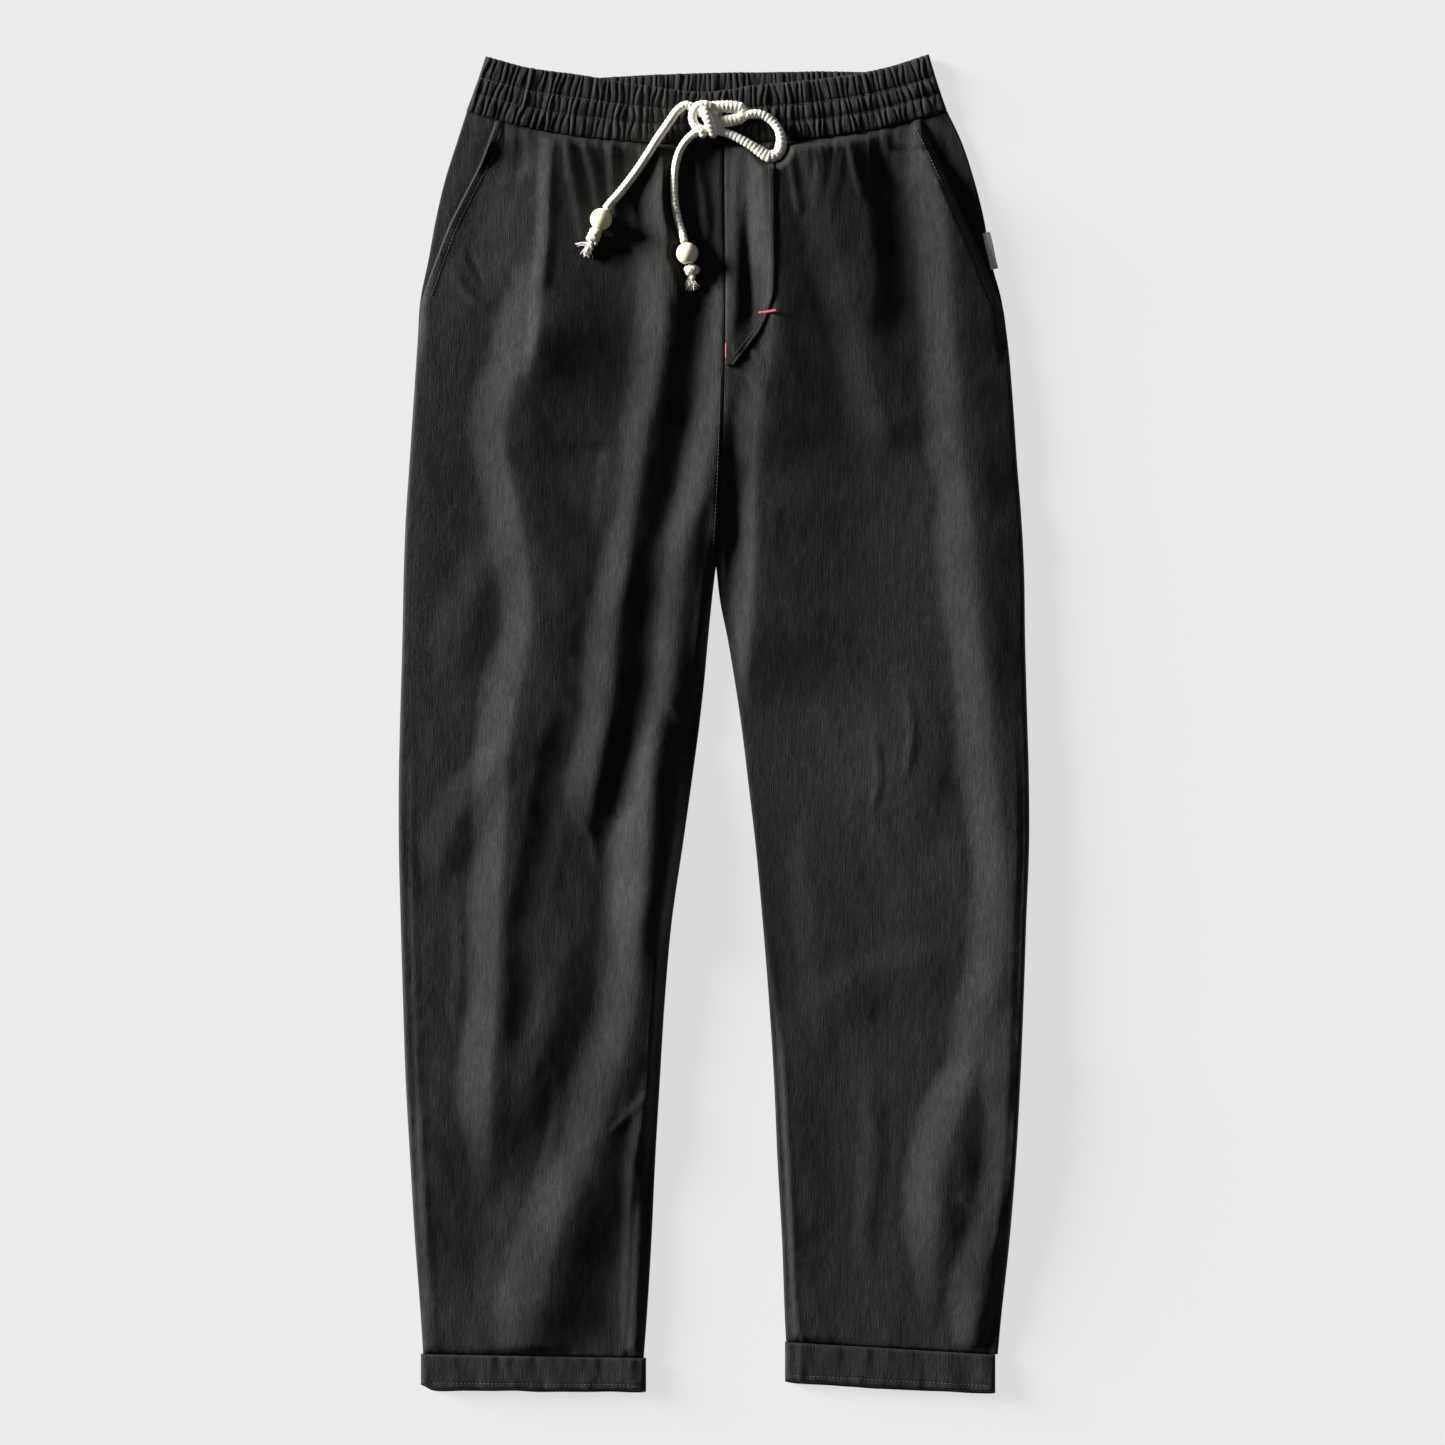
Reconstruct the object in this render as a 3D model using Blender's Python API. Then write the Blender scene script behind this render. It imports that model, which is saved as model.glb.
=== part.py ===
"""Drawstring summer trousers in linen and cotton, laid flat on a surface.

The waist is at +Y, the hems are at -Y, and +Z is up, away from the surface at Z = 0. Left and right are
the viewer's, looking down. The sizes below are millimetres, and each piece turns them into metres by MM.
Each piece of cloth is a closed wall with its own thickness, and 0.3 mm parts it from its neighbours.
"""

import math
import random
from collections import namedtuple

import bmesh
import bpy
import numpy as np
from mathutils import Vector
from mathutils.bvhtree import BVHTree

MM = 0.001

# Cloth walls and the gaps between pieces
WALL = 1.2
FACING_WALL = 1.0
FLAP_WALL = 1.0
BAND_WALL = 2.2
CUFF_WALL = 2.2
GAP = 0.3
LAID_GAP = 0.4

# Heights of the flat-laid garment, from the surface to the top of each tube
LEG_DEPTH = 5.0
FACING_DEPTH = 3.4
BAND_DEPTH = 5.2
CUFF_DEPTH = 7.2
MIDDLE_HEIGHT = 2.5

# Roundings at the edges of a panel: how far in they reach
SIDE_ROUND = 2.4
SEAM_ROUND = 1.5
BAND_ROUND = 3.0
EDGE_ANGLES = (0, 45, 90)

# Where the legs part, and where the pocket mouths end
CROTCH_Y = 118
POCKET_LOW_Y = 311
FACING_LOW_Y = 315.5
FACING_UNDERLAP = 12
FACING_ROWS = 8
MOUTH_CLEARANCE = 0.1

# How far folds fade at a panel's edges and at their own ends
FOLD_EDGE_FADE = 16
FOLD_END_FADE = 22

# How far below the pocket's end and the crotch an edge starts and ends its change of height
MOUTH_BLEND = (14, 1)
CROTCH_BLEND = (9, 1)

# How many times a row's height is worked out again for a curved edge
SETTLING_ROUNDS = 8

# The gathered waistband
GATHERS = 70
GATHER_RISE = 0.9
CHANNELS = 3
CHANNEL_BULGE = 0.9
CHANNEL_LINE_RISE = 0.45
# How strong the gathers of the back are, by their share of its height
BACK_GATHERS = ((0, 0), (0.55, 0.3), (0.8, 1), (1, 0.6))

# The drawstring
LEFT_CORD = 6.4
RIGHT_CORD = 5.8
LOOP_CORD = 7.2
BEAD = 16.4
STRANDS_ACROSS = 4

Pair = namedtuple("Pair", "y left right")
Edge = namedtuple("Edge", "x y")
BandEdge = namedtuple("BandEdge", "x front back")
Fold = namedtuple("Fold", "name rise left_width right_width path")
CordPoint = namedtuple("CordPoint", "x y z")
Finish = namedtuple("Finish", "colour roughness")
EdgeTurn = namedtuple("EdgeTurn", "x way reach rim")
Cuff = namedtuple("Cuff", "name x_low x_high top_low top_high end_low end_high")

# The outline from above, at the side edges of both legs
SILHOUETTE = (
    Pair(463, -184, 173),
    Pair(438, -192, 185),
    Pair(408, -201.5, 195),
    Pair(378, -208.5, 202.5),
    Pair(348, -214, 207.5),
    Pair(318, -220, 215.5),
    Pair(288, -222, 220),
    Pair(243, -225, 224),
    Pair(198, -228, 227),
    Pair(153, -231, 230.5),
    Pair(118, -232.3, 232.3),
    Pair(63, -233.5, 233.2),
    Pair(3, -235.2, 234.8),
    Pair(-42, -236.2, 236),
    Pair(-87, -236.2, 236.2),
    Pair(-147, -234.8, 234),
    Pair(-207, -233, 232),
    Pair(-267, -231, 229.5),
    Pair(-327, -227.6, 226.2),
    Pair(-387, -224, 221.5),
    Pair(-447, -219.5, 215),
    Pair(-480, -217.5, 212),
)

# The inner edges of both legs, below the crotch
INSEAM = (
    Pair(118, 1.35, 1.65),
    Pair(93, -1.5, 4.5),
    Pair(63, -4.5, 10.5),
    Pair(33, -7.2, 15.5),
    Pair(3, -10.5, 20),
    Pair(-42, -16.5, 25.5),
    Pair(-87, -22.8, 30.8),
    Pair(-147, -31.5, 36.4),
    Pair(-207, -36.8, 41.2),
    Pair(-267, -40.5, 45),
    Pair(-327, -44, 47.6),
    Pair(-387, -46.8, 51),
    Pair(-447, -50.5, 53.2),
    Pair(-480, -53, 55),
)

# The seam down the middle, above the crotch: both sides keep half a gap from it
CENTRE_SEAM = (
    Pair(440, 7.35, 7.65),
    Pair(243, 7.35, 7.65),
    Pair(198, 5.85, 6.15),
    Pair(153, 3.65, 3.95),
    Pair(118, 1.35, 1.65),
)

# The slanted pocket mouths, from the waist seam to the side edge
POCKET_MOUTH = (
    Pair(460, -161, 152),
    Pair(444, -166.5, 159),
    Pair(420, -175.5, 170),
    Pair(397, -187, 180),
    Pair(375, -198, 190),
    Pair(348, -208.5, 202),
    Pair(324, -217, 211),
    Pair(311, -220.8, 216.4),
)

# The top edges of the waistband, which dips at the middle of the front
BAND_TOP = (
    BandEdge(-172, 501, 500.2),
    BandEdge(-158, 497, 494),
    BandEdge(-141, 492.5, 489),
    BandEdge(-102, 487, 485),
    BandEdge(-50, 478.5, 487),
    BandEdge(-3, 474, 488.6),
    BandEdge(27, 478.5, 489),
    BandEdge(78, 483.5, 489.7),
    BandEdge(130, 492.5, 491),
    BandEdge(148, 498, 495),
    BandEdge(162, 502.3, 501),
)
BAND_SIDE_LOW = (-185.5, 174.5)
BAND_SIDE_HIGH = (-171, 161)

# The largest folds of the fronts. Each path runs down its crest, from the waist towards the hem
FOLDS = (
    Fold("left_pleat", 4, 9, 25, ((-117, 452), (-119, 408), (-123, 348), (-128, 312))),
    Fold(
        "left_outer",
        9,
        20,
        38,
        (
            (-136, 318),
            (-144, 273),
            (-152, 230),
            (-152, 183),
            (-141, 148),
            (-137, 108),
            (-144, 48),
            (-151, -20),
            (-160, -110),
            (-155, -165),
            (-167, -225),
            (-165, -300),
        ),
    ),
    Fold(
        "left_middle",
        9,
        17,
        22,
        ((-46, 385), (-44, 310), (-49, 243), (-61, 155), (-75, 88), (-83, 30), (-79, -40)),
    ),
    Fold(
        "left_inner",
        9,
        16,
        34,
        (
            (2, 262),
            (-5, 213),
            (-14, 165),
            (-30, 118),
            (-35, 63),
            (-45, 15),
            (-53, -50),
            (-60, -122),
            (-71, -170),
            (-69, -210),
            (-84, -267),
            (-103, -327),
            (-123, -387),
            (-137, -455),
        ),
    ),
    Fold("left_knee", 4, 14, 20, ((-100, -130), (-115, -207), (-133, -267), (-139, -320))),
    Fold("left_hem", 5, 18, 14, ((-62, -250), (-66, -330), (-64, -400), (-60, -455))),
    Fold("fly_seam", 3.5, 8, 10, ((19, 430), (17, 363), (16, 300), (14, 260))),
    Fold(
        "fly_edge",
        6,
        13,
        30,
        ((30, 405), (42, 363), (40, 296), (33, 262), (29, 213), (25, 138), (23, 93), (28, 40)),
    ),
    Fold("right_pleat", 6, 10, 34, ((70, 438), (80, 393), (98, 330), (117, 270), (134, 205))),
    Fold(
        "right_outer",
        8,
        18,
        30,
        (
            (157, 425),
            (163, 380),
            (172, 320),
            (173, 240),
            (184, 123),
            (196, 30),
            (206, -40),
            (209, -130),
            (207, -180),
            (192, -240),
            (166, -300),
            (153, -360),
            (155, -402),
            (145, -460),
        ),
    ),
    Fold("right_hem", 4, 14, 11, ((219, -235), (218, -327), (204, -387), (184, -460))),
    Fold("right_knee", 4, 14, 20, ((70, -90), (78, -162), (82, -215))),
)

# Rows of every leg panel, named by their height at the inner edge
LEG_ROWS = (
    435,
    415,
    388,
    358,
    325,
    291,
    279,
    248,
    215,
    182,
    150,
    118,
    108,
    80,
    45,
    10,
    -30,
    -70,
    -110,
    -150,
    -190,
    -230,
    -270,
    -310,
    -350,
    -390,
    -430,
    -474,
)
FRONT_COLUMNS = 18
BACK_COLUMNS = 8

# The turned-up cuffs: each side edge, then the height of the upper and lower edge at both sides
CUFFS = {
    "left": Cuff("cuff_left", -219.6, -50.8, -471.5, -474.5, -498, -499.5),
    "right": Cuff("cuff_right", 53.2, 210.8, -462.4, -472, -492.8, -500.8),
}
CUFF_COLUMNS = 7
CUFF_BACK_DROP = 2.6

# The mock fly's free edge, from the waist seam round to the middle seam
FLY_EDGE = (
    Edge(45, 437),
    Edge(46, 400),
    Edge(46, 370),
    Edge(46, 340),
    Edge(44, 318),
    Edge(36, 296),
    Edge(24, 280),
    Edge(14, 268),
)
FLY_COLUMNS = 5

# How a cuff's section turns at its right and left ends
CUFF_HIGH_ANGLES = (90, 45, 0, -45, -90)
CUFF_LOW_ANGLES = (-90, -135, 180, 135, 90)

# The flap clears the highest cloth this near to each of its points
FLY_NEAR_X = (-4, -2, 0, 2, 4)
FLY_NEAR_Y = (-6, -3, 0, 3, 6)

# The blank side label, along the right pocket mouth's lower end
LABEL_SIZE = (5.6, 28, 0.7)
LABEL_PLACE = (207, 354.8, 4.1)
LABEL_TURN = 13

# Centre lines of the drawstring, from the knot outwards
LEFT_TAIL = (
    CordPoint(-17.4, 461.8, 11.4),
    CordPoint(-22, 462.6, 11),
    CordPoint(-28, 458, 10.6),
    CordPoint(-35, 448, 10.4),
    CordPoint(-42, 438, 10.2),
    CordPoint(-49, 427, 9.3),
    CordPoint(-57, 415, 8.9),
    CordPoint(-66, 403, 9),
    CordPoint(-72, 395.5, 10),
    CordPoint(-77, 389.8, 11.8),
    CordPoint(-80.4, 385.2, 13),
)
RIGHT_TAIL = (
    CordPoint(-14.6, 441.6, 11.6),
    CordPoint(-18.6, 438.6, 10.8),
    CordPoint(-22.6, 434, 9.7),
    CordPoint(-26, 428, 8.9),
    CordPoint(-29, 417, 8.5),
    CordPoint(-29.8, 404, 8.5),
    CordPoint(-29.2, 390, 8.6),
    CordPoint(-26.8, 378, 8.9),
    CordPoint(-24.6, 370, 9.9),
    CordPoint(-23, 364.5, 12),
    CordPoint(-22, 360.3, 13.2),
)
LARGE_LOOP = (
    CordPoint(24.6, 455.4, 11.4),
    CordPoint(30, 456.4, 11.2),
    CordPoint(37, 455.2, 11),
    CordPoint(44, 450.5, 10.8),
    CordPoint(49, 443, 11),
    CordPoint(50.3, 434, 10.8),
    CordPoint(47.6, 427, 10.7),
    CordPoint(41.5, 424.6, 10.8),
    CordPoint(35, 428, 10.9),
    CordPoint(27.5, 433, 11.3),
    CordPoint(19, 437.8, 11.4),
    CordPoint(11, 441.4, 11.2),
    CordPoint(2, 443.8, 11.2),
)
KNOT_PLACE = (-7.4, 452.6, 13.3)
KNOT_HALF = (9.4, 12.6, 6)
EAR_PLACE = (13.2, 455.2, 11.9)
EAR_HALF = (10.8, 8.6, 4.4)

# Beads, end knots and frayed ends lie in line with the cord's last stretch
LEFT_END = {
    "bead": (-84.2, 377.2, 13.5),
    "knot": (-89.6, 365, 10.7),
    "knot_half": (5.2, 6.4, 5.2),
    "tuft": (-93.1, 357, 8.2),
    "turn": -24,
}
RIGHT_END = {
    "bead": (-19.9, 351.8, 13.7),
    "knot": (-16.8, 339.4, 10.8),
    "knot_half": (6.2, 5.4, 5.4),
    "tuft": (-17.6, 331.6, 8.4),
    "turn": 8,
}
TUFT_HEAD = (5.4, 5.2, 4.6)
TUFT_LENGTH = 8.5
TUFT_SPREAD = 0.62
ROOT_INSET = 0.12
TIP_SHARE = 0.7

FINISHES = {
    "cloth": Finish((0.035, 0.035, 0.034, 1), 0.85),
    "cord": Finish((0.86, 0.83, 0.72, 1), 0.9),
    "wood": Finish((0.86, 0.83, 0.6, 1), 0.55),
    "label": Finish((0.8, 0.8, 0.78, 1), 0.8),
}


def clear_scene():
    for old in list(bpy.data.objects):
        bpy.data.objects.remove(old, do_unlink=True)


def finish(piece, kind):
    """Give a piece its own material."""
    look = FINISHES[kind]
    material = bpy.data.materials.new(f"{piece.name}_{kind}")
    material.use_nodes = True
    shader = material.node_tree.nodes["Principled BSDF"]
    shader.inputs["Base Color"].default_value = look.colour
    shader.inputs["Roughness"].default_value = look.roughness
    shader.inputs["Metallic"].default_value = 0
    piece.data.materials.append(material)


def put(name, mesh, kind):
    """Add a piece to the garment's collection."""
    piece = bpy.data.objects.new(name, mesh)
    garment.objects.link(piece)
    finish(piece, kind)
    return piece


def blend(value, low, high):
    """Run smoothly from 0 at low to 1 at high."""
    t = np.clip((value - low) / (high - low), 0, 1)
    return t * t * (3 - 2 * t)


def smooth_read(rows, key, column, at):
    """Read a table's column at any value of its key, on one smooth curve through the rows."""
    table = sorted(rows, key=lambda row: getattr(row, key))
    knots = np.array([getattr(row, key) for row in table], dtype=float)
    values = np.array([getattr(row, column) for row in table], dtype=float)
    slopes = np.gradient(values, knots)
    place = np.clip(np.searchsorted(knots, at) - 1, 0, len(knots) - 2)
    span = knots[place + 1] - knots[place]
    t = np.clip((at - knots[place]) / span, 0, 1)
    start = values[place] * (1 + 2 * t) * (1 - t) ** 2
    end = values[place + 1] * t * t * (3 - 2 * t)
    leave = slopes[place] * span * t * (1 - t) ** 2
    arrive = slopes[place + 1] * span * t * t * (1 - t)
    return start + end + leave - arrive


def side_edge(side, y):
    return smooth_read(SILHOUETTE, "y", side, y)


def front_edge(side, y):
    """The front panel's outer edge: the pocket mouth, then the side."""
    mouth = smooth_read(POCKET_MOUTH, "y", side, y)
    return np.where(y > POCKET_LOW_Y, mouth, side_edge(side, y))


def inner_edge(side, y):
    seam = smooth_read(CENTRE_SEAM, "y", side, y)
    return np.where(y > CROTCH_Y, seam, smooth_read(INSEAM, "y", side, y))


def waist_seam(x):
    """The waistband's lower edge curves up towards the sides."""
    return 435.4 + 24.7 * (np.abs(x + 6) / 180) ** 2.5


def cuff_edge(side, x):
    cuff = CUFFS[side]
    share = (x - cuff.x_low) / (cuff.x_high - cuff.x_low)
    return cuff.top_low + share * (cuff.top_high - cuff.top_low)


def row_y(side, x, fraction):
    top = waist_seam(x) - GAP
    end = cuff_edge(side, x) + GAP
    return top + fraction * (end - top)


def edge_x(edge, side, fraction):
    """Find where a row meets a panel's curved edge."""
    y = row_y(side, 0, fraction)
    for _ in range(SETTLING_ROUNDS):
        x = edge(side, y)
        y = row_y(side, x, fraction)
    return float(x)


def smooth_path(points, steps):
    """Points on a smooth curve through the given ones."""
    points = [np.array(point, dtype=float) for point in points]
    points = [2 * points[0] - points[1]] + points + [2 * points[-1] - points[-2]]
    path = []
    for before, start, end, after in zip(points, points[1:], points[2:], points[3:]):
        for step in range(steps):
            t = step / steps
            path.append(
                0.5
                * (
                    2 * start
                    + (end - before) * t
                    + (2 * before - 5 * start + 4 * end - after) * t**2
                    + (3 * start - before - 3 * end + after) * t**3
                )
            )
    path.append(points[-2])
    return np.array(path)


def fold_rise(fold, x, y):
    """How far a fold lifts the cloth at each x and y."""
    path = smooth_path(fold.path, 4)
    nearest = np.full(np.shape(x), 1e9)
    width = np.full(np.shape(x), 1.0)
    along = np.zeros(np.shape(x))
    travelled = 0.0
    for start, end in zip(path, path[1:]):
        step = end - start
        length = np.hypot(*step)
        t = np.clip(((x - start[0]) * step[0] + (y - start[1]) * step[1]) / length**2, 0, 1)
        distance = np.hypot(x - start[0] - t * step[0], y - start[1] - t * step[1])
        on_right = step[0] * (y - start[1]) - step[1] * (x - start[0]) > 0
        closer = distance < nearest
        nearest = np.where(closer, distance, nearest)
        width = np.where(closer, np.where(on_right, fold.right_width, fold.left_width), width)
        along = np.where(closer, travelled + t * length, along)
        travelled += length
    share = np.clip(nearest / width, 0, 1)
    ends = blend(np.minimum(along, travelled - along), 0, FOLD_END_FADE)
    return fold.rise * (1 - share**2) ** 2 * ends


def front_height(side, x, y):
    """The top of the front, with its folds, which die away at the panel's edges."""
    rise = sum(fold_rise(fold, x, y) for fold in FOLDS)
    rise = rise * blend(np.abs(x - front_edge(side, y)), 0, FOLD_EDGE_FADE)
    inner_fade = blend(np.abs(x - inner_edge(side, y)), 0, FOLD_EDGE_FADE)
    rise = rise * np.where(y > CROTCH_Y, 1, inner_fade)
    rise = rise * blend(waist_seam(x) - y, 0, FOLD_END_FADE)
    rise = rise * blend(y - cuff_edge(side, x), 0, FOLD_END_FADE)
    return LEG_DEPTH + rise


def make_wall(name, outer, inner, kind):
    """Close the wall between two grids of points, row by row. Their outer columns are joined at each end."""
    outer = np.asarray(outer, dtype=float)
    inner = np.asarray(inner, dtype=float)
    mesh_maker = bmesh.new()
    skins = []
    for grid in (outer, inner):
        skins.append([[mesh_maker.verts.new(Vector(point) * MM) for point in row] for row in grid])
    for skin in skins:
        for low, high in zip(skin, skin[1:]):
            for a, b, c, d in zip(low, low[1:], high[1:], high):
                mesh_maker.faces.new((a, b, c, d))
    front, back = skins
    for row in (0, -1):
        for a, b, c, d in zip(front[row], front[row][1:], back[row][1:], back[row]):
            mesh_maker.faces.new((a, b, c, d))
    for column in (0, -1):
        rim = [row[column] for row in front] + [row[column] for row in reversed(back)]
        if len(front) == len(back):
            for low in range(len(front) - 1):
                mesh_maker.faces.new(
                    (
                        front[low][column],
                        front[low + 1][column],
                        back[low + 1][column],
                        back[low][column],
                    )
                )
        else:
            mesh_maker.faces.new(rim)
    bmesh.ops.triangulate(mesh_maker, faces=mesh_maker.faces)
    mesh_maker.normal_update()
    bmesh.ops.recalc_face_normals(mesh_maker, faces=mesh_maker.faces)
    mesh = bpy.data.meshes.new(name)
    mesh_maker.to_mesh(mesh)
    mesh_maker.free()
    mesh.shade_smooth()
    mesh.set_sharp_from_angle(angle=math.radians(50))
    return put(name, mesh, kind)


def edge_columns(flat_columns):
    """Columns across a panel: round the outer edge, over the flat and round the inner edge."""
    columns = [("outer", math.radians(angle)) for angle in EDGE_ANGLES]
    columns += [("flat", step / flat_columns) for step in range(1, flat_columns)]
    columns += [("inner", math.radians(angle)) for angle in reversed(EDGE_ANGLES)]
    return columns


def leg_panel(name, side, is_front, flat_columns):
    """Build one leg panel, which lies flat and turns up or down round its edges."""
    columns = edge_columns(flat_columns)
    grids = {"outer": [], "inner": []}
    for station in LEG_ROWS:
        fraction = (LEG_ROWS[0] - station) / (LEG_ROWS[0] - LEG_ROWS[-1])
        row = panel_row(side, is_front, fraction)
        for skin, wall in (("outer", 0), ("inner", WALL)):
            grids[skin].append([panel_place(row, column, wall) for column in columns])
    skins = {}
    for skin, wall in (("outer", 0), ("inner", WALL)):
        x, rim, lift = np.moveaxis(np.array(grids[skin]), -1, 0)
        fractions = [(LEG_ROWS[0] - station) / (LEG_ROWS[0] - LEG_ROWS[-1]) for station in LEG_ROWS]
        y = row_y(side, x, np.array(fractions)[:, None])
        top = front_height(side, x, y) - wall if is_front else np.full(x.shape, float(wall))
        skins[skin] = np.stack([x, y, rim + (top - rim) * lift], axis=-1)
    return make_wall(name, skins["outer"], skins["inner"], "cloth")


def panel_row(side, is_front, fraction):
    """Where a row starts and ends, and how it turns over at the side and at the inner edge."""
    towards_middle = 1 if side == "left" else -1
    outer_x = edge_x(front_edge if is_front else side_edge, side, fraction)
    inner_x = edge_x(inner_edge, side, fraction)
    outer_y = row_y(side, outer_x, fraction)
    inner_y = row_y(side, inner_x, fraction)
    mouth_start, mouth_end = (POCKET_LOW_Y - below for below in MOUTH_BLEND)
    seam_start, seam_end = (CROTCH_Y - below for below in CROTCH_BLEND)
    at_mouth = float(blend(outer_y, mouth_start, mouth_end)) if is_front else 0
    at_seam = float(blend(inner_y, seam_start, seam_end))
    side_rim = MIDDLE_HEIGHT + GAP / 2 if is_front else MIDDLE_HEIGHT - GAP / 2
    mouth_rim = LEG_DEPTH - WALL - MOUTH_CLEARANCE
    seam_rim = LEG_DEPTH - SEAM_ROUND if is_front else SEAM_ROUND
    seam_round = SIDE_ROUND + at_seam * (SEAM_ROUND - SIDE_ROUND)
    return {
        "outer": EdgeTurn(outer_x, towards_middle, SIDE_ROUND, side_rim + at_mouth * (mouth_rim - side_rim)),
        "inner": EdgeTurn(inner_x, -towards_middle, seam_round, side_rim + at_seam * (seam_rim - side_rim)),
    }


def panel_place(row, column, wall):
    """The x of a column in its row, the height of its rim, and how far it has turned up from the rim."""
    kind, value = column
    if kind == "flat":
        start = row["outer"].x + row["outer"].way * row["outer"].reach
        end = row["inner"].x + row["inner"].way * row["inner"].reach
        return start + value * (end - start), 0, 1
    turn = row[kind]
    across = turn.reach - (turn.reach - wall) * math.cos(value)
    return turn.x + turn.way * across, turn.rim, math.sin(value)


def pocket_facing(side):
    """The side piece seen inside a slanted pocket mouth, running a little way under the front."""
    towards_middle = 1 if side == "left" else -1
    outer_grid = []
    inner_grid = []
    rim = MIDDLE_HEIGHT + GAP / 2
    for step in range(FACING_ROWS):
        share = step / (FACING_ROWS - 1)
        outer_row = []
        inner_row = []
        for angle in EDGE_ANGLES:
            turn = math.radians(angle)
            outer_row.append(("edge", SIDE_ROUND * (1 - math.cos(turn)), math.sin(turn)))
            inside = SIDE_ROUND - (SIDE_ROUND - FACING_WALL) * math.cos(turn)
            inner_row.append(("edge", inside, math.sin(turn)))
        for across in (0.5, 1):
            outer_row.append(("flat", across, 1))
            inner_row.append(("flat", across, 1))
        for row, grid, depth in (
            (outer_row, outer_grid, FACING_DEPTH),
            (inner_row, inner_grid, FACING_DEPTH - FACING_WALL),
        ):
            points = []
            for kind, reach, lift in row:
                y = FACING_LOW_Y
                for _ in range(SETTLING_ROUNDS):
                    edge = float(side_edge(side, y))
                    mouth = float(smooth_read(POCKET_MOUTH, "y", side, y))
                    inmost = mouth + towards_middle * FACING_UNDERLAP
                    start = edge + towards_middle * SIDE_ROUND
                    x = start + reach * (inmost - start) if kind == "flat" else edge + towards_middle * reach
                    top = float(waist_seam(x)) - GAP
                    y = top + share * (FACING_LOW_Y - top)
                points.append((x, y, rim + (depth - rim) * lift))
            grid.append(points)
    return make_wall(f"pocket_facing_{side}", outer_grid, inner_grid, "cloth")


def surface_reader(piece):
    """A function that reads a piece's top height at x and y, in millimetres."""
    tree = BVHTree.FromObject(piece, bpy.context.evaluated_depsgraph_get())

    def height(x, y):
        hit = tree.ray_cast(Vector((x * MM, y * MM, 1)), Vector((0, 0, -1)))
        return hit[0].z / MM if hit[0] else LEG_DEPTH

    return height


def fly_flap(panel):
    """The mock fly's flap: it lies on the right front, from the middle seam to its curved edge."""
    height = surface_reader(panel)
    edge = smooth_path([(row.x, row.y) for row in FLY_EDGE], 3)
    outer_grid = []
    inner_grid = []
    for rim_x, rim_y in edge:
        start = float(inner_edge("right", np.array(rim_y))) + SEAM_ROUND
        outer_row = []
        inner_row = []
        for step in range(FLY_COLUMNS + 1):
            x = start + (rim_x - start) * step / FLY_COLUMNS
            y = min(rim_y, float(waist_seam(x)) - GAP)
            under = max(height(x + across, y + along) for across in FLY_NEAR_X for along in FLY_NEAR_Y)
            outer_row.append((x, y, under + LAID_GAP + FLAP_WALL))
            inner_row.append((x, y, under + LAID_GAP))
        outer_grid.append(outer_row)
        inner_grid.append(inner_row)
    return make_wall("fly_flap", outer_grid, inner_grid, "cloth")


def band_columns():
    """Columns across a waistband: round one side, two to a gather, and round the other side."""
    shares = [step / (2 * GATHERS) for step in range(1, 2 * GATHERS)]
    columns = [("low", math.radians(angle)) for angle in EDGE_ANGLES]
    columns += [("flat", share) for share in shares]
    columns += [("high", math.radians(angle)) for angle in reversed(EDGE_ANGLES)]
    return columns


def band_point(share_up, column, top_column, inside):
    """The x, y and lift of a waistband point."""
    low_x = BAND_SIDE_LOW[0] + share_up * (BAND_SIDE_HIGH[0] - BAND_SIDE_LOW[0])
    high_x = BAND_SIDE_LOW[1] + share_up * (BAND_SIDE_HIGH[1] - BAND_SIDE_LOW[1])
    kind, value = column
    lift = 1
    if kind == "flat":
        x = low_x + BAND_ROUND + value * (high_x - low_x - 2 * BAND_ROUND)
    else:
        radius = BAND_ROUND - BAND_WALL if inside else BAND_ROUND
        reach = BAND_ROUND - radius * math.cos(value)
        x = low_x + reach if kind == "low" else high_x - reach
        lift = math.sin(value)
    bottom = float(waist_seam(x))
    top = float(smooth_read(BAND_TOP, "x", top_column, x))
    return x, bottom + share_up * (top - bottom), lift


def waistband_front():
    """Three shirred channels, raised over a plain inside."""
    rng = random.Random(7)
    rows = [step / (2 * CHANNELS) for step in range(2 * CHANNELS + 1)]
    columns = band_columns()
    rim = MIDDLE_HEIGHT + GAP / 2
    outer_grid = []
    for row, share_up in enumerate(rows):
        in_channel = row % 2
        points = []
        for place, column in enumerate(columns):
            x, y, lift = band_point(share_up, column, "front", False)
            crest = 1 if place % 2 else 0
            strength = 1 if in_channel else CHANNEL_LINE_RISE
            gather = GATHER_RISE * crest * rng.uniform(0.7, 1.1) * strength
            top = BAND_DEPTH + CHANNEL_BULGE * in_channel + gather
            points.append((x, y, rim + (top - rim) * lift))
        outer_grid.append(points)
    inner_grid = []
    for share_up in (0, 1):
        points = []
        for column in columns:
            x, y, lift = band_point(share_up, column, "front", True)
            points.append((x, y, rim + (BAND_DEPTH - BAND_WALL - rim) * lift))
        inner_grid.append(points)
    return make_wall("waistband_front", outer_grid, inner_grid, "cloth")


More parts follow.
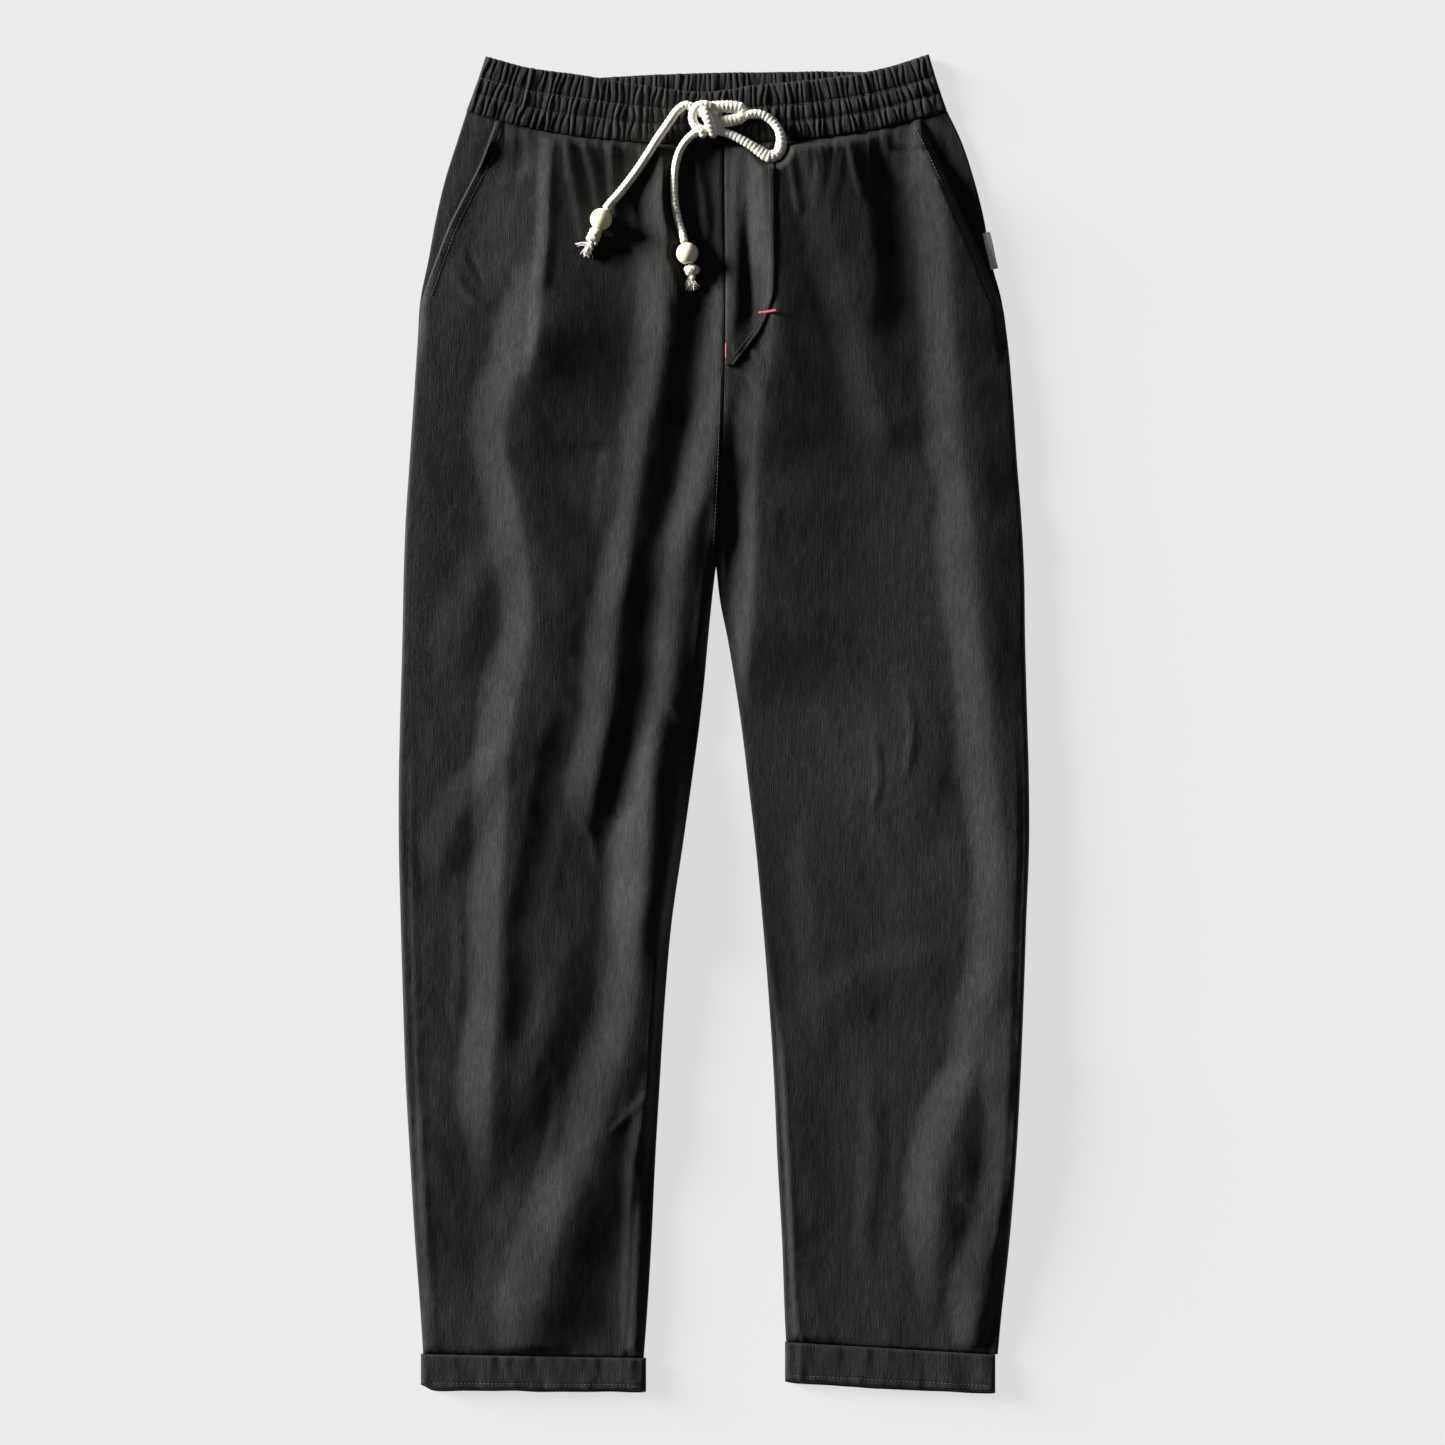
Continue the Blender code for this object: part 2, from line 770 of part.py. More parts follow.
def waistband_back():
    """The back of the waistband lies flat. Its gathers show on the side that faces up."""
    rng = random.Random(11)
    columns = band_columns()
    rim = MIDDLE_HEIGHT - GAP / 2
    flat_top = BAND_WALL - GATHER_RISE
    upper_grid = []
    for share_up, strength in BACK_GATHERS:
        points = []
        for place, column in enumerate(columns):
            x, y, lift = band_point(share_up, column, "back", True)
            crest = 1 if place % 2 else 0
            top = flat_top + GATHER_RISE * crest * strength * rng.uniform(0.7, 1)
            points.append((x, y, rim + (top - rim) * lift))
        upper_grid.append(points)
    lower_grid = []
    for share_up in (0, 1):
        points = []
        for column in columns:
            x, y, lift = band_point(share_up, column, "back", False)
            points.append((x, y, rim - rim * lift))
        lower_grid.append(points)
    return make_wall("waistband_back", upper_grid, lower_grid, "cloth")


def cuff_section(cuff, wall):
    """The x and z of a cuff's flattened ring: round one end, along below, round the other, along on top."""
    half = CUFF_DEPTH / 2
    centre_low = cuff.x_low + half
    centre_high = cuff.x_high - half
    steps = [step / CUFF_COLUMNS for step in range(1, CUFF_COLUMNS)]
    ring = []
    for centre, angles, level, shares in (
        (centre_high, CUFF_HIGH_ANGLES, wall, [1 - step for step in steps]),
        (centre_low, CUFF_LOW_ANGLES, CUFF_DEPTH - wall, steps),
    ):
        for angle in angles:
            turn = math.radians(angle)
            ring.append((centre + (half - wall) * math.cos(turn), half + (half - wall) * math.sin(turn)))
        ring += [(centre_low + share * (centre_high - centre_low), level) for share in shares]
    return ring


def cuff_ring(side):
    """A turned-up cuff: one flattened ring of doubled cloth, whose back hangs a little lower."""
    cuff = CUFFS[side]
    mesh_maker = bmesh.new()
    loops = []
    for wall in (0, CUFF_WALL):
        skin = []
        for share in (0, 0.5, 1):
            loop = []
            for x, z in cuff_section(cuff, wall):
                share_x = (x - cuff.x_low) / (cuff.x_high - cuff.x_low)
                top = cuff.top_low + share_x * (cuff.top_high - cuff.top_low)
                end = cuff.end_low + share_x * (cuff.end_high - cuff.end_low)
                end -= CUFF_BACK_DROP * (1 - z / CUFF_DEPTH) - CUFF_BACK_DROP / 2
                loop.append(mesh_maker.verts.new(Vector((x, top + share * (end - top), z)) * MM))
            skin.append(loop)
        loops.append(skin)
    count = len(loops[0][0])
    outer, inner = loops
    for skin in loops:
        for low, high in zip(skin, skin[1:]):
            for step in range(count):
                after = (step + 1) % count
                mesh_maker.faces.new((low[step], low[after], high[after], high[step]))
    for row in (0, -1):
        for step in range(count):
            after = (step + 1) % count
            mesh_maker.faces.new((outer[row][step], outer[row][after], inner[row][after], inner[row][step]))
    mesh_maker.normal_update()
    bmesh.ops.recalc_face_normals(mesh_maker, faces=mesh_maker.faces)
    mesh = bpy.data.meshes.new(cuff.name)
    mesh_maker.to_mesh(mesh)
    mesh_maker.free()
    mesh.shade_smooth()
    mesh.set_sharp_from_angle(angle=math.radians(50))
    return put(cuff.name, mesh, "cloth")


def side_label():
    """A small blank folded label at the side seam."""
    mesh_maker = bmesh.new()
    bmesh.ops.create_cube(mesh_maker, size=1)
    bmesh.ops.scale(mesh_maker, vec=Vector(LABEL_SIZE) * MM, verts=mesh_maker.verts)
    mesh = bpy.data.meshes.new("side_label")
    mesh_maker.to_mesh(mesh)
    mesh_maker.free()
    label = put("side_label", mesh, "label")
    label.location = Vector(LABEL_PLACE) * MM
    label.rotation_euler.z = math.radians(LABEL_TURN)
    return label


def cord(name, route, diameter):
    """A tube of cord along a smooth curve through the route's points."""
    points = smooth_path(route, 2)
    curve = bpy.data.curves.new(name, "CURVE")
    curve.dimensions = "3D"
    curve.bevel_depth = diameter / 2 * MM
    curve.bevel_resolution = 2
    curve.use_fill_caps = True
    line = curve.splines.new("POLY")
    line.points.add(len(points) - 1)
    for target, point in zip(line.points, points):
        target.co = (*(Vector(point) * MM), 1)
    return put(name, curve, "cord")


def rounded_lump(name, place, half, kind, square=1.0, turn=0.0, flat_pole=1.0):
    """An egg-like solid. A square above 1 fills out its corners, and flat_pole cuts its ends."""
    mesh_maker = bmesh.new()
    bmesh.ops.create_uvsphere(mesh_maker, u_segments=14, v_segments=9, radius=1)
    for corner in mesh_maker.verts:
        pole = max(-flat_pole, min(flat_pole, corner.co.z))
        spread = (corner.co.x, pole, corner.co.y)
        filled = [math.copysign(abs(value) ** (1 / square), value) for value in spread]
        corner.co = Vector([value * size * MM for value, size in zip(filled, half)])
    mesh_maker.normal_update()
    bmesh.ops.recalc_face_normals(mesh_maker, faces=mesh_maker.faces)
    mesh = bpy.data.meshes.new(name)
    mesh_maker.to_mesh(mesh)
    mesh_maker.free()
    mesh.shade_smooth()
    lump = put(name, mesh, kind)
    lump.location = Vector(place) * MM
    lump.rotation_euler.z = math.radians(turn)
    return lump


def tuft(name, end):
    """Frayed cord: strands of four sides that fan out of one small head."""
    rng = random.Random(name)
    mesh_maker = bmesh.new()
    bmesh.ops.create_cube(mesh_maker, size=1)
    end_faces = [face for face in mesh_maker.faces if face.normal.y < -0.9]
    edges = list(end_faces[0].edges)
    bmesh.ops.subdivide_edges(mesh_maker, edges=edges, cuts=STRANDS_ACROSS - 1, use_grid_fill=True)
    for corner in mesh_maker.verts:
        spread = 1 - 0.3 * (corner.co.y + 0.5)
        corner.co.x *= TUFT_HEAD[0] * spread
        corner.co.z *= TUFT_HEAD[2] * spread
        corner.co.y *= TUFT_HEAD[1]
    mesh_maker.normal_update()
    roots = [face for face in mesh_maker.faces if face.normal.y < -0.9]
    bmesh.ops.inset_individual(mesh_maker, faces=roots, thickness=ROOT_INSET)
    tips = bmesh.ops.extrude_discrete_faces(mesh_maker, faces=roots)["faces"]
    for tip in tips:
        middle = tip.calc_center_median()
        way = Vector((middle.x / TUFT_HEAD[0] * 2 * TUFT_SPREAD, -1, 0.35 + middle.z / TUFT_HEAD[2] * 0.5))
        reach = way.normalized() * TUFT_LENGTH * rng.uniform(0.75, 1.1)
        for corner in tip.verts:
            corner.co = middle + (corner.co - middle) * TIP_SHARE + reach
    for corner in mesh_maker.verts:
        corner.co *= MM
    mesh_maker.normal_update()
    bmesh.ops.recalc_face_normals(mesh_maker, faces=mesh_maker.faces)
    mesh = bpy.data.meshes.new(name)
    mesh_maker.to_mesh(mesh)
    mesh_maker.free()
    piece = put(name, mesh, "cord")
    piece.location = Vector(end["tuft"]) * MM
    piece.rotation_euler.z = math.radians(end["turn"])
    return piece


def cord_end(side, end):
    """A wooden bead, the knot that holds it on, and the frayed end."""
    bead_half = (BEAD / 2, BEAD / 2, BEAD / 2)
    rounded_lump(f"bead_{side}", end["bead"], bead_half, "wood", turn=end["turn"], flat_pole=0.92)
    rounded_lump(
        f"end_knot_{side}",
        end["knot"],
        end["knot_half"],
        "cord",
        turn=end["turn"],
        flat_pole=0.9,
    )
    tuft(f"tuft_{side}", end)


def drawstring():
    rounded_lump("cord_knot", KNOT_PLACE, KNOT_HALF, "cord", square=1.35)
    rounded_lump("cord_loop_small", EAR_PLACE, EAR_HALF, "cord", square=1.5)
    cord("cord_loop_large", LARGE_LOOP, LOOP_CORD)
    cord("cord_tail_left", LEFT_TAIL, LEFT_CORD)
    cord("cord_tail_right", RIGHT_TAIL, RIGHT_CORD)
    cord_end("left", LEFT_END)
    cord_end("right", RIGHT_END)


clear_scene()
garment = bpy.data.collections.new("summer_trousers")
bpy.context.scene.collection.children.link(garment)

for which in ("left", "right"):
    leg_panel(f"back_{which}", which, False, BACK_COLUMNS)
    leg_panel(f"front_{which}", which, True, FRONT_COLUMNS)
    pocket_facing(which)
    cuff_ring(which)
waistband_front()
waistband_back()
fly_flap(bpy.data.objects["front_right"])
side_label()
drawstring()
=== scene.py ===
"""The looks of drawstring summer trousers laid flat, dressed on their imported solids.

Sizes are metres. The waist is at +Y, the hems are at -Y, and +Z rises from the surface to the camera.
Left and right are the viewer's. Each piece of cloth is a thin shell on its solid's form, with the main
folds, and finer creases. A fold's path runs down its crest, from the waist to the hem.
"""

import math
import random
from collections import namedtuple

import bmesh
import bpy
import numpy as np
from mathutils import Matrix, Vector


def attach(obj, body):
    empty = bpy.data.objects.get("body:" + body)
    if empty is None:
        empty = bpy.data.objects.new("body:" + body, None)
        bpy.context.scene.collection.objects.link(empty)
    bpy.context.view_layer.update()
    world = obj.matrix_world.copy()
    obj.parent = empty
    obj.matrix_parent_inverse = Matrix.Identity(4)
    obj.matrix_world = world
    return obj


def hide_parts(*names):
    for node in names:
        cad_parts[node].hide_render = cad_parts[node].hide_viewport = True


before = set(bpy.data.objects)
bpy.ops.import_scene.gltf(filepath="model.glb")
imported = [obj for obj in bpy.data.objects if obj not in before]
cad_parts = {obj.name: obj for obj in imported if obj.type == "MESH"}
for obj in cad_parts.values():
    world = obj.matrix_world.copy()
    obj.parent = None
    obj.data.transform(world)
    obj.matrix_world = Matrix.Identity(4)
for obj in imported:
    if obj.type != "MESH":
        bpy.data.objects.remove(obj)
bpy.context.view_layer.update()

# Shells, the gaps between pieces, and the heights of the flat-laid garment from the surface
SHELL = 0.0009
GAP = 0.0003
LEG_DEPTH = 0.005
FACING_DEPTH = 0.0034
BAND_DEPTH = 0.0052
BAND_WALL = 0.0022
CUFF_DEPTH = 0.0072
CUFF_WALL = 0.0018
MIDDLE_HEIGHT = 0.0025

# How far in the edges round over: at the sides, and at the middle seam on its left and right
SIDE_ROUND = 0.0024
SEAM_ROUND = 0.0011
LIT_SEAM_ROUND = 0.0003
BAND_ROUND = 0.003
SEAM_LAP = 0.0004

# Where the legs part, and where the pocket mouths end
CROTCH_Y = 0.118
POCKET_LOW_Y = 0.311

# How far from a panel's edge the folds and creases begin, and the least gap under a cord
FOLD_EDGE_FADE = 0.009
CREASE_EDGE_FADE = 0.006
CLEAR = 0.0003

# The grids of the front and back legs
FRONT_ROWS = 340
FRONT_COLUMNS = 92
BACK_ROWS = 150
BACK_COLUMNS = 44

# The shirred waistband: its gathers, and the lines of stitching between its three channels
GATHERS = 70
SAMPLES_A_GATHER = 10
CHANNEL_LINES = (0, 0.33, 0.61, 1)

# Sewing: the thread's radius, a stitch's length and how far apart the stitches start
THREAD = 0.00022
STITCH = 0.0021
STITCH_PITCH = 0.0029

# The light: the key's energy, its height, bearing and spread in degrees, and the even fill
KEY_ENERGY = 15.6
KEY_HEIGHT = 11
KEY_BEARING = 22
KEY_SPREAD = 20
FILL = 0.1
FLOOR_TONE = 0.14
FLOOR_GLOW = 0.69

# How light the cloth is dyed
CLOTH_LIGHT = 0.0102
BAND_LIGHT = 0.01

# First seeds of the folds, the creases and the creases behind
FOLD_SEED = 100
CREASE_SEED = 200
BACK_SEED = 300

Pair = namedtuple("Pair", "y left right")
Edge = namedtuple("Edge", "x y")
BandEdge = namedtuple("BandEdge", "x front back")
Fold = namedtuple("Fold", "name rise left_width right_width crest fade path")
CordPoint = namedtuple("CordPoint", "x y z")
Cuff = namedtuple("Cuff", "x_low x_high top_low top_high end_low end_high")
Patch = namedtuple("Patch", "x y half_x half_y strength")

# Centre lines of the drawstring, from the knot outwards
LEFT_TAIL = (
    CordPoint(-0.0174, 0.4618, 0.0114),
    CordPoint(-0.022, 0.4626, 0.011),
    CordPoint(-0.028, 0.458, 0.0106),
    CordPoint(-0.035, 0.448, 0.0104),
    CordPoint(-0.042, 0.438, 0.0102),
    CordPoint(-0.049, 0.427, 0.0093),
    CordPoint(-0.057, 0.415, 0.0089),
    CordPoint(-0.066, 0.403, 0.009),
    CordPoint(-0.072, 0.3955, 0.01),
    CordPoint(-0.077, 0.3898, 0.0118),
    CordPoint(-0.0804, 0.3852, 0.013),
)
RIGHT_TAIL = (
    CordPoint(-0.0146, 0.4416, 0.0116),
    CordPoint(-0.0186, 0.4386, 0.0108),
    CordPoint(-0.0226, 0.434, 0.0097),
    CordPoint(-0.026, 0.428, 0.0089),
    CordPoint(-0.029, 0.417, 0.0085),
    CordPoint(-0.0298, 0.404, 0.0085),
    CordPoint(-0.0292, 0.39, 0.0086),
    CordPoint(-0.0268, 0.378, 0.0089),
    CordPoint(-0.0246, 0.37, 0.0099),
    CordPoint(-0.023, 0.3645, 0.012),
    CordPoint(-0.022, 0.3603, 0.0132),
)
LARGE_LOOP = (
    CordPoint(0.0246, 0.4554, 0.0114),
    CordPoint(0.03, 0.4564, 0.0112),
    CordPoint(0.037, 0.4552, 0.011),
    CordPoint(0.044, 0.4505, 0.0108),
    CordPoint(0.049, 0.443, 0.011),
    CordPoint(0.0503, 0.434, 0.0108),
    CordPoint(0.0476, 0.427, 0.0107),
    CordPoint(0.0415, 0.4246, 0.0108),
    CordPoint(0.035, 0.428, 0.0109),
    CordPoint(0.0275, 0.433, 0.0113),
    CordPoint(0.019, 0.4378, 0.0114),
    CordPoint(0.011, 0.4414, 0.0112),
    CordPoint(0.002, 0.4438, 0.0112),
)
LEFT_CORD = 0.0064
RIGHT_CORD = 0.0058
LOOP_CORD = 0.0072

# Strands of the knot: the flat ear folds back on itself, and the other strands wrap over and under it
EAR_STRAND = (
    CordPoint(-0.006, 0.4596, 0.0125),
    CordPoint(0.0015, 0.4612, 0.0122),
    CordPoint(0.012, 0.4616, 0.0116),
    CordPoint(0.0192, 0.4606, 0.0112),
    CordPoint(0.0214, 0.4572, 0.011),
    CordPoint(0.0198, 0.4534, 0.0112),
    CordPoint(0.012, 0.4512, 0.0116),
    CordPoint(0.0015, 0.4496, 0.0122),
    CordPoint(-0.006, 0.45, 0.0125),
)
LEFT_WRAP = (
    CordPoint(0, 0.4606, 0.013),
    CordPoint(-0.006, 0.4625, 0.0142),
    CordPoint(-0.0118, 0.4618, 0.0142),
    CordPoint(-0.0152, 0.4574, 0.0132),
    CordPoint(-0.0158, 0.452, 0.0124),
    CordPoint(-0.0134, 0.447, 0.0124),
    CordPoint(-0.0092, 0.4436, 0.013),
    CordPoint(-0.0082, 0.4402, 0.0118),
    CordPoint(-0.0083, 0.4388, 0.0106),
)
OVER_WRAP = (
    CordPoint(-0.0102, 0.4622, 0.0118),
    CordPoint(-0.0082, 0.459, 0.0156),
    CordPoint(-0.0055, 0.4535, 0.0168),
    CordPoint(-0.003, 0.448, 0.016),
    CordPoint(-0.0012, 0.4432, 0.0138),
    CordPoint(-0.0008, 0.44, 0.0118),
    CordPoint(-0.0008, 0.4388, 0.0106),
)
TAIL_STRAND = (
    CordPoint(-0.0205, 0.4624, 0.0112),
    CordPoint(-0.0165, 0.4612, 0.0116),
    CordPoint(-0.011, 0.4576, 0.0124),
    CordPoint(-0.004, 0.4552, 0.013),
    CordPoint(0.004, 0.4556, 0.0124),
)
RETURN_STRAND = (
    CordPoint(-0.0175, 0.4394, 0.011),
    CordPoint(-0.0146, 0.4416, 0.0116),
    CordPoint(-0.0092, 0.4444, 0.0118),
    CordPoint(-0.003, 0.4452, 0.0116),
    CordPoint(0.004, 0.4434, 0.0113),
    CordPoint(0.009, 0.442, 0.0112),
)

BEAD = 0.0164
LEFT_BEAD = (-0.0842, 0.3772, 0.0135)
LEFT_KNOT = (-0.0896, 0.365, 0.0107)
LEFT_TUFT = (-0.0931, 0.357, 0.0082)
LEFT_TURN = math.radians(-24)
RIGHT_BEAD = (-0.0199, 0.3518, 0.0137)
RIGHT_KNOT = (-0.0168, 0.3394, 0.0108)
RIGHT_TUFT = (-0.0176, 0.3316, 0.0084)
RIGHT_TURN = math.radians(8)

# What presses the cloth down: its middle and its radius
PRESSED = (
    (LEFT_BEAD, BEAD / 2),
    (RIGHT_BEAD, BEAD / 2),
    (LEFT_KNOT, 0.0052),
    (RIGHT_KNOT, 0.0054),
    (LEFT_TUFT, 0.0024),
    (RIGHT_TUFT, 0.0024),
)

# The outline from above, at the side edges of both legs
SILHOUETTE = (
    Pair(0.463, -0.184, 0.173),
    Pair(0.438, -0.192, 0.185),
    Pair(0.408, -0.2015, 0.195),
    Pair(0.378, -0.2085, 0.2025),
    Pair(0.348, -0.214, 0.2075),
    Pair(0.318, -0.22, 0.2155),
    Pair(0.288, -0.222, 0.22),
    Pair(0.243, -0.225, 0.224),
    Pair(0.198, -0.228, 0.227),
    Pair(0.153, -0.231, 0.2305),
    Pair(0.118, -0.2323, 0.2323),
    Pair(0.063, -0.2335, 0.2332),
    Pair(0.003, -0.2352, 0.2348),
    Pair(-0.042, -0.2362, 0.236),
    Pair(-0.087, -0.2362, 0.2362),
    Pair(-0.147, -0.2348, 0.234),
    Pair(-0.207, -0.233, 0.232),
    Pair(-0.267, -0.231, 0.2295),
    Pair(-0.327, -0.2276, 0.2262),
    Pair(-0.387, -0.224, 0.2215),
    Pair(-0.447, -0.2195, 0.215),
    Pair(-0.48, -0.2175, 0.212),
)

# The inner edges of both legs, below the crotch
INSEAM = (
    Pair(0.118, 0.00135, 0.00165),
    Pair(0.093, -0.0015, 0.0045),
    Pair(0.063, -0.0045, 0.0105),
    Pair(0.033, -0.0072, 0.0155),
    Pair(0.003, -0.0105, 0.02),
    Pair(-0.042, -0.0165, 0.0255),
    Pair(-0.087, -0.0228, 0.0308),
    Pair(-0.147, -0.0315, 0.0364),
    Pair(-0.207, -0.0368, 0.0412),
    Pair(-0.267, -0.0405, 0.045),
    Pair(-0.327, -0.044, 0.0476),
    Pair(-0.387, -0.0468, 0.051),
    Pair(-0.447, -0.0505, 0.0532),
    Pair(-0.48, -0.053, 0.055),
)

# The seam down the middle, above the crotch
CENTRE_SEAM = (
    Pair(0.44, 0.00735, 0.00765),
    Pair(0.243, 0.00735, 0.00765),
    Pair(0.198, 0.00585, 0.00615),
    Pair(0.153, 0.00365, 0.00395),
    Pair(0.118, 0.00135, 0.00165),
)

# The slanted pocket mouths
POCKET_MOUTH = (
    Pair(0.46, -0.161, 0.152),
    Pair(0.444, -0.1665, 0.159),
    Pair(0.42, -0.1755, 0.17),
    Pair(0.397, -0.187, 0.18),
    Pair(0.375, -0.198, 0.19),
    Pair(0.348, -0.2085, 0.202),
    Pair(0.324, -0.217, 0.211),
    Pair(0.311, -0.2208, 0.2164),
)

# The seams that rolled to the front: the inseams, and how far in the side seams lie at the lower legs
ROLLED_INSEAM = (
    Pair(-0.13, -0.036, 0.034),
    Pair(-0.222, -0.042, 0.0445),
    Pair(-0.282, -0.048, 0.0495),
    Pair(-0.342, -0.0578, 0.053),
    Pair(-0.387, -0.0608, 0.0555),
    Pair(-0.432, -0.063, 0.058),
    Pair(-0.47, -0.0655, 0.0645),
)
SIDE_SEAM_IN = 0.0068

# The top edges of the waistband, which dips at the middle of the front
BAND_TOP = (
    BandEdge(-0.172, 0.501, 0.5002),
    BandEdge(-0.158, 0.497, 0.494),
    BandEdge(-0.141, 0.4925, 0.489),
    BandEdge(-0.102, 0.487, 0.485),
    BandEdge(-0.05, 0.4785, 0.487),
    BandEdge(-0.003, 0.474, 0.4886),
    BandEdge(0.027, 0.4785, 0.489),
    BandEdge(0.078, 0.4835, 0.4897),
    BandEdge(0.13, 0.4925, 0.491),
    BandEdge(0.148, 0.498, 0.495),
    BandEdge(0.162, 0.5023, 0.501),
)
BAND_SIDE_LOW = (-0.1855, 0.1745)
BAND_SIDE_HIGH = (-0.171, 0.161)

CUFFS = {
    "left": Cuff(-0.2196, -0.0508, -0.4715, -0.4745, -0.498, -0.4995),
    "right": Cuff(0.0532, 0.2108, -0.4624, -0.472, -0.4928, -0.5008),
}
CUFF_BACK_DROP = 0.0026

# The mock fly's free edge, from the waist seam round to the middle seam
FLY_EDGE = (
    Edge(0.045, 0.437),
    Edge(0.046, 0.4),
    Edge(0.046, 0.37),
    Edge(0.046, 0.34),
    Edge(0.044, 0.318),
    Edge(0.036, 0.296),
    Edge(0.024, 0.28),
    Edge(0.014, 0.268),
)

# The folds pressed in by wear
MAIN_FOLDS = (
    Fold("left_pleat", 0.005, 0.011, 0.062, 0.7, 0.06, (
        (-0.116, 0.506), (-0.118, 0.452), (-0.122, 0.408), (-0.124, 0.36), (-0.13, 0.296),
        (-0.142, 0.243),
    )),
    Fold("left_outer", 0.01, 0.029, 0.084, 0.8, 0.09, (
        (-0.128, 0.371), (-0.138, 0.281), (-0.15, 0.243), (-0.154, 0.206), (-0.146, 0.168),
        (-0.136, 0.123), (-0.135, 0.078), (-0.139, 0.048), (-0.15, -0.012), (-0.153, -0.064),
        (-0.157, -0.132), (-0.16, -0.207), (-0.164, -0.267), (-0.168, -0.357),
    )),
    Fold("left_middle", 0.008, 0.025, 0.028, 0.6, 0.06, (
        (-0.036, 0.453), (-0.038, 0.382), (-0.034, 0.318), (-0.04, 0.266), (-0.049, 0.221),
        (-0.058, 0.168), (-0.063, 0.123), (-0.071, 0.078), (-0.076, 0.018), (-0.086, -0.034),
        (-0.098, -0.094),
    )),
    Fold("left_inner", 0.0085, 0.029, 0.034, 0.4, 0.08, (
        (0.01, 0.378), (0.01, 0.273), (0.003, 0.221), (-0.006, 0.176), (-0.02, 0.131), (-0.026, 0.086),
        (-0.031, 0.033), (-0.042, -0.012), (-0.048, -0.057), (-0.05, -0.102), (-0.055, -0.154),
        (-0.058, -0.207),
    )),
    Fold("left_shin", 0.009, 0.038, 0.05, 0.5, 0.1, (
        (-0.038, 0.018), (-0.044, -0.042), (-0.046, -0.094), (-0.052, -0.154), (-0.06, -0.222),
        (-0.078, -0.282), (-0.093, -0.327), (-0.108, -0.364), (-0.121, -0.402), (-0.13, -0.439),
        (-0.147, -0.522),
    )),
    Fold("left_knee", 0.0015, 0.018, 0.026, 0.4, 0.06, (
        (-0.106, -0.135), (-0.118, -0.207), (-0.127, -0.237), (-0.136, -0.267), (-0.146, -0.319),
    )),
    Fold("left_hem", 0.003, 0.014, 0.016, 0.2, 0.05, (
        (-0.046, -0.252), (-0.056, -0.319), (-0.058, -0.364), (-0.056, -0.507),
    )),
    Fold("fly_edge", 0.008, 0.02, 0.1, 0.85, 0.06, (
        (0.038, 0.483), (0.038, 0.416), (0.043, 0.363), (0.046, 0.318), (0.045, 0.281), (0.039, 0.243),
        (0.034, 0.213), (0.032, 0.176), (0.032, 0.116), (0.028, 0.063), (0.024, 0.003),
    )),
    Fold("right_pleat", 0.0044, 0.024, 0.05, 0.6, 0.04, (
        (0.069, 0.476), (0.074, 0.438), (0.083, 0.401), (0.092, 0.36), (0.104, 0.311), (0.122, 0.251),
        (0.135, 0.191),
    )),
    Fold("right_outer", 0.009, 0.03, 0.06, 0.5, 0.09, (
        (0.166, 0.521), (0.171, 0.438), (0.176, 0.378), (0.18, 0.318), (0.184, 0.258), (0.188, 0.206),
        (0.193, 0.153), (0.2, 0.078), (0.207, 0.018), (0.213, -0.049), (0.22, -0.109), (0.22, -0.162),
        (0.212, -0.207), (0.204, -0.244), (0.189, -0.282), (0.177, -0.319), (0.171, -0.357),
        (0.166, -0.454),
    )),
    Fold("right_hem", 0.007, 0.026, 0.02, 0.3, 0.08, (
        (0.224, -0.192), (0.224, -0.267), (0.222, -0.327), (0.213, -0.372), (0.201, -0.417),
        (0.189, -0.507),
    )),
    Fold("right_knee", 0.002, 0.02, 0.05, 0.5, 0.05, (
        (0.069, -0.057), (0.074, -0.132), (0.082, -0.207), (0.087, -0.252),
    )),
)

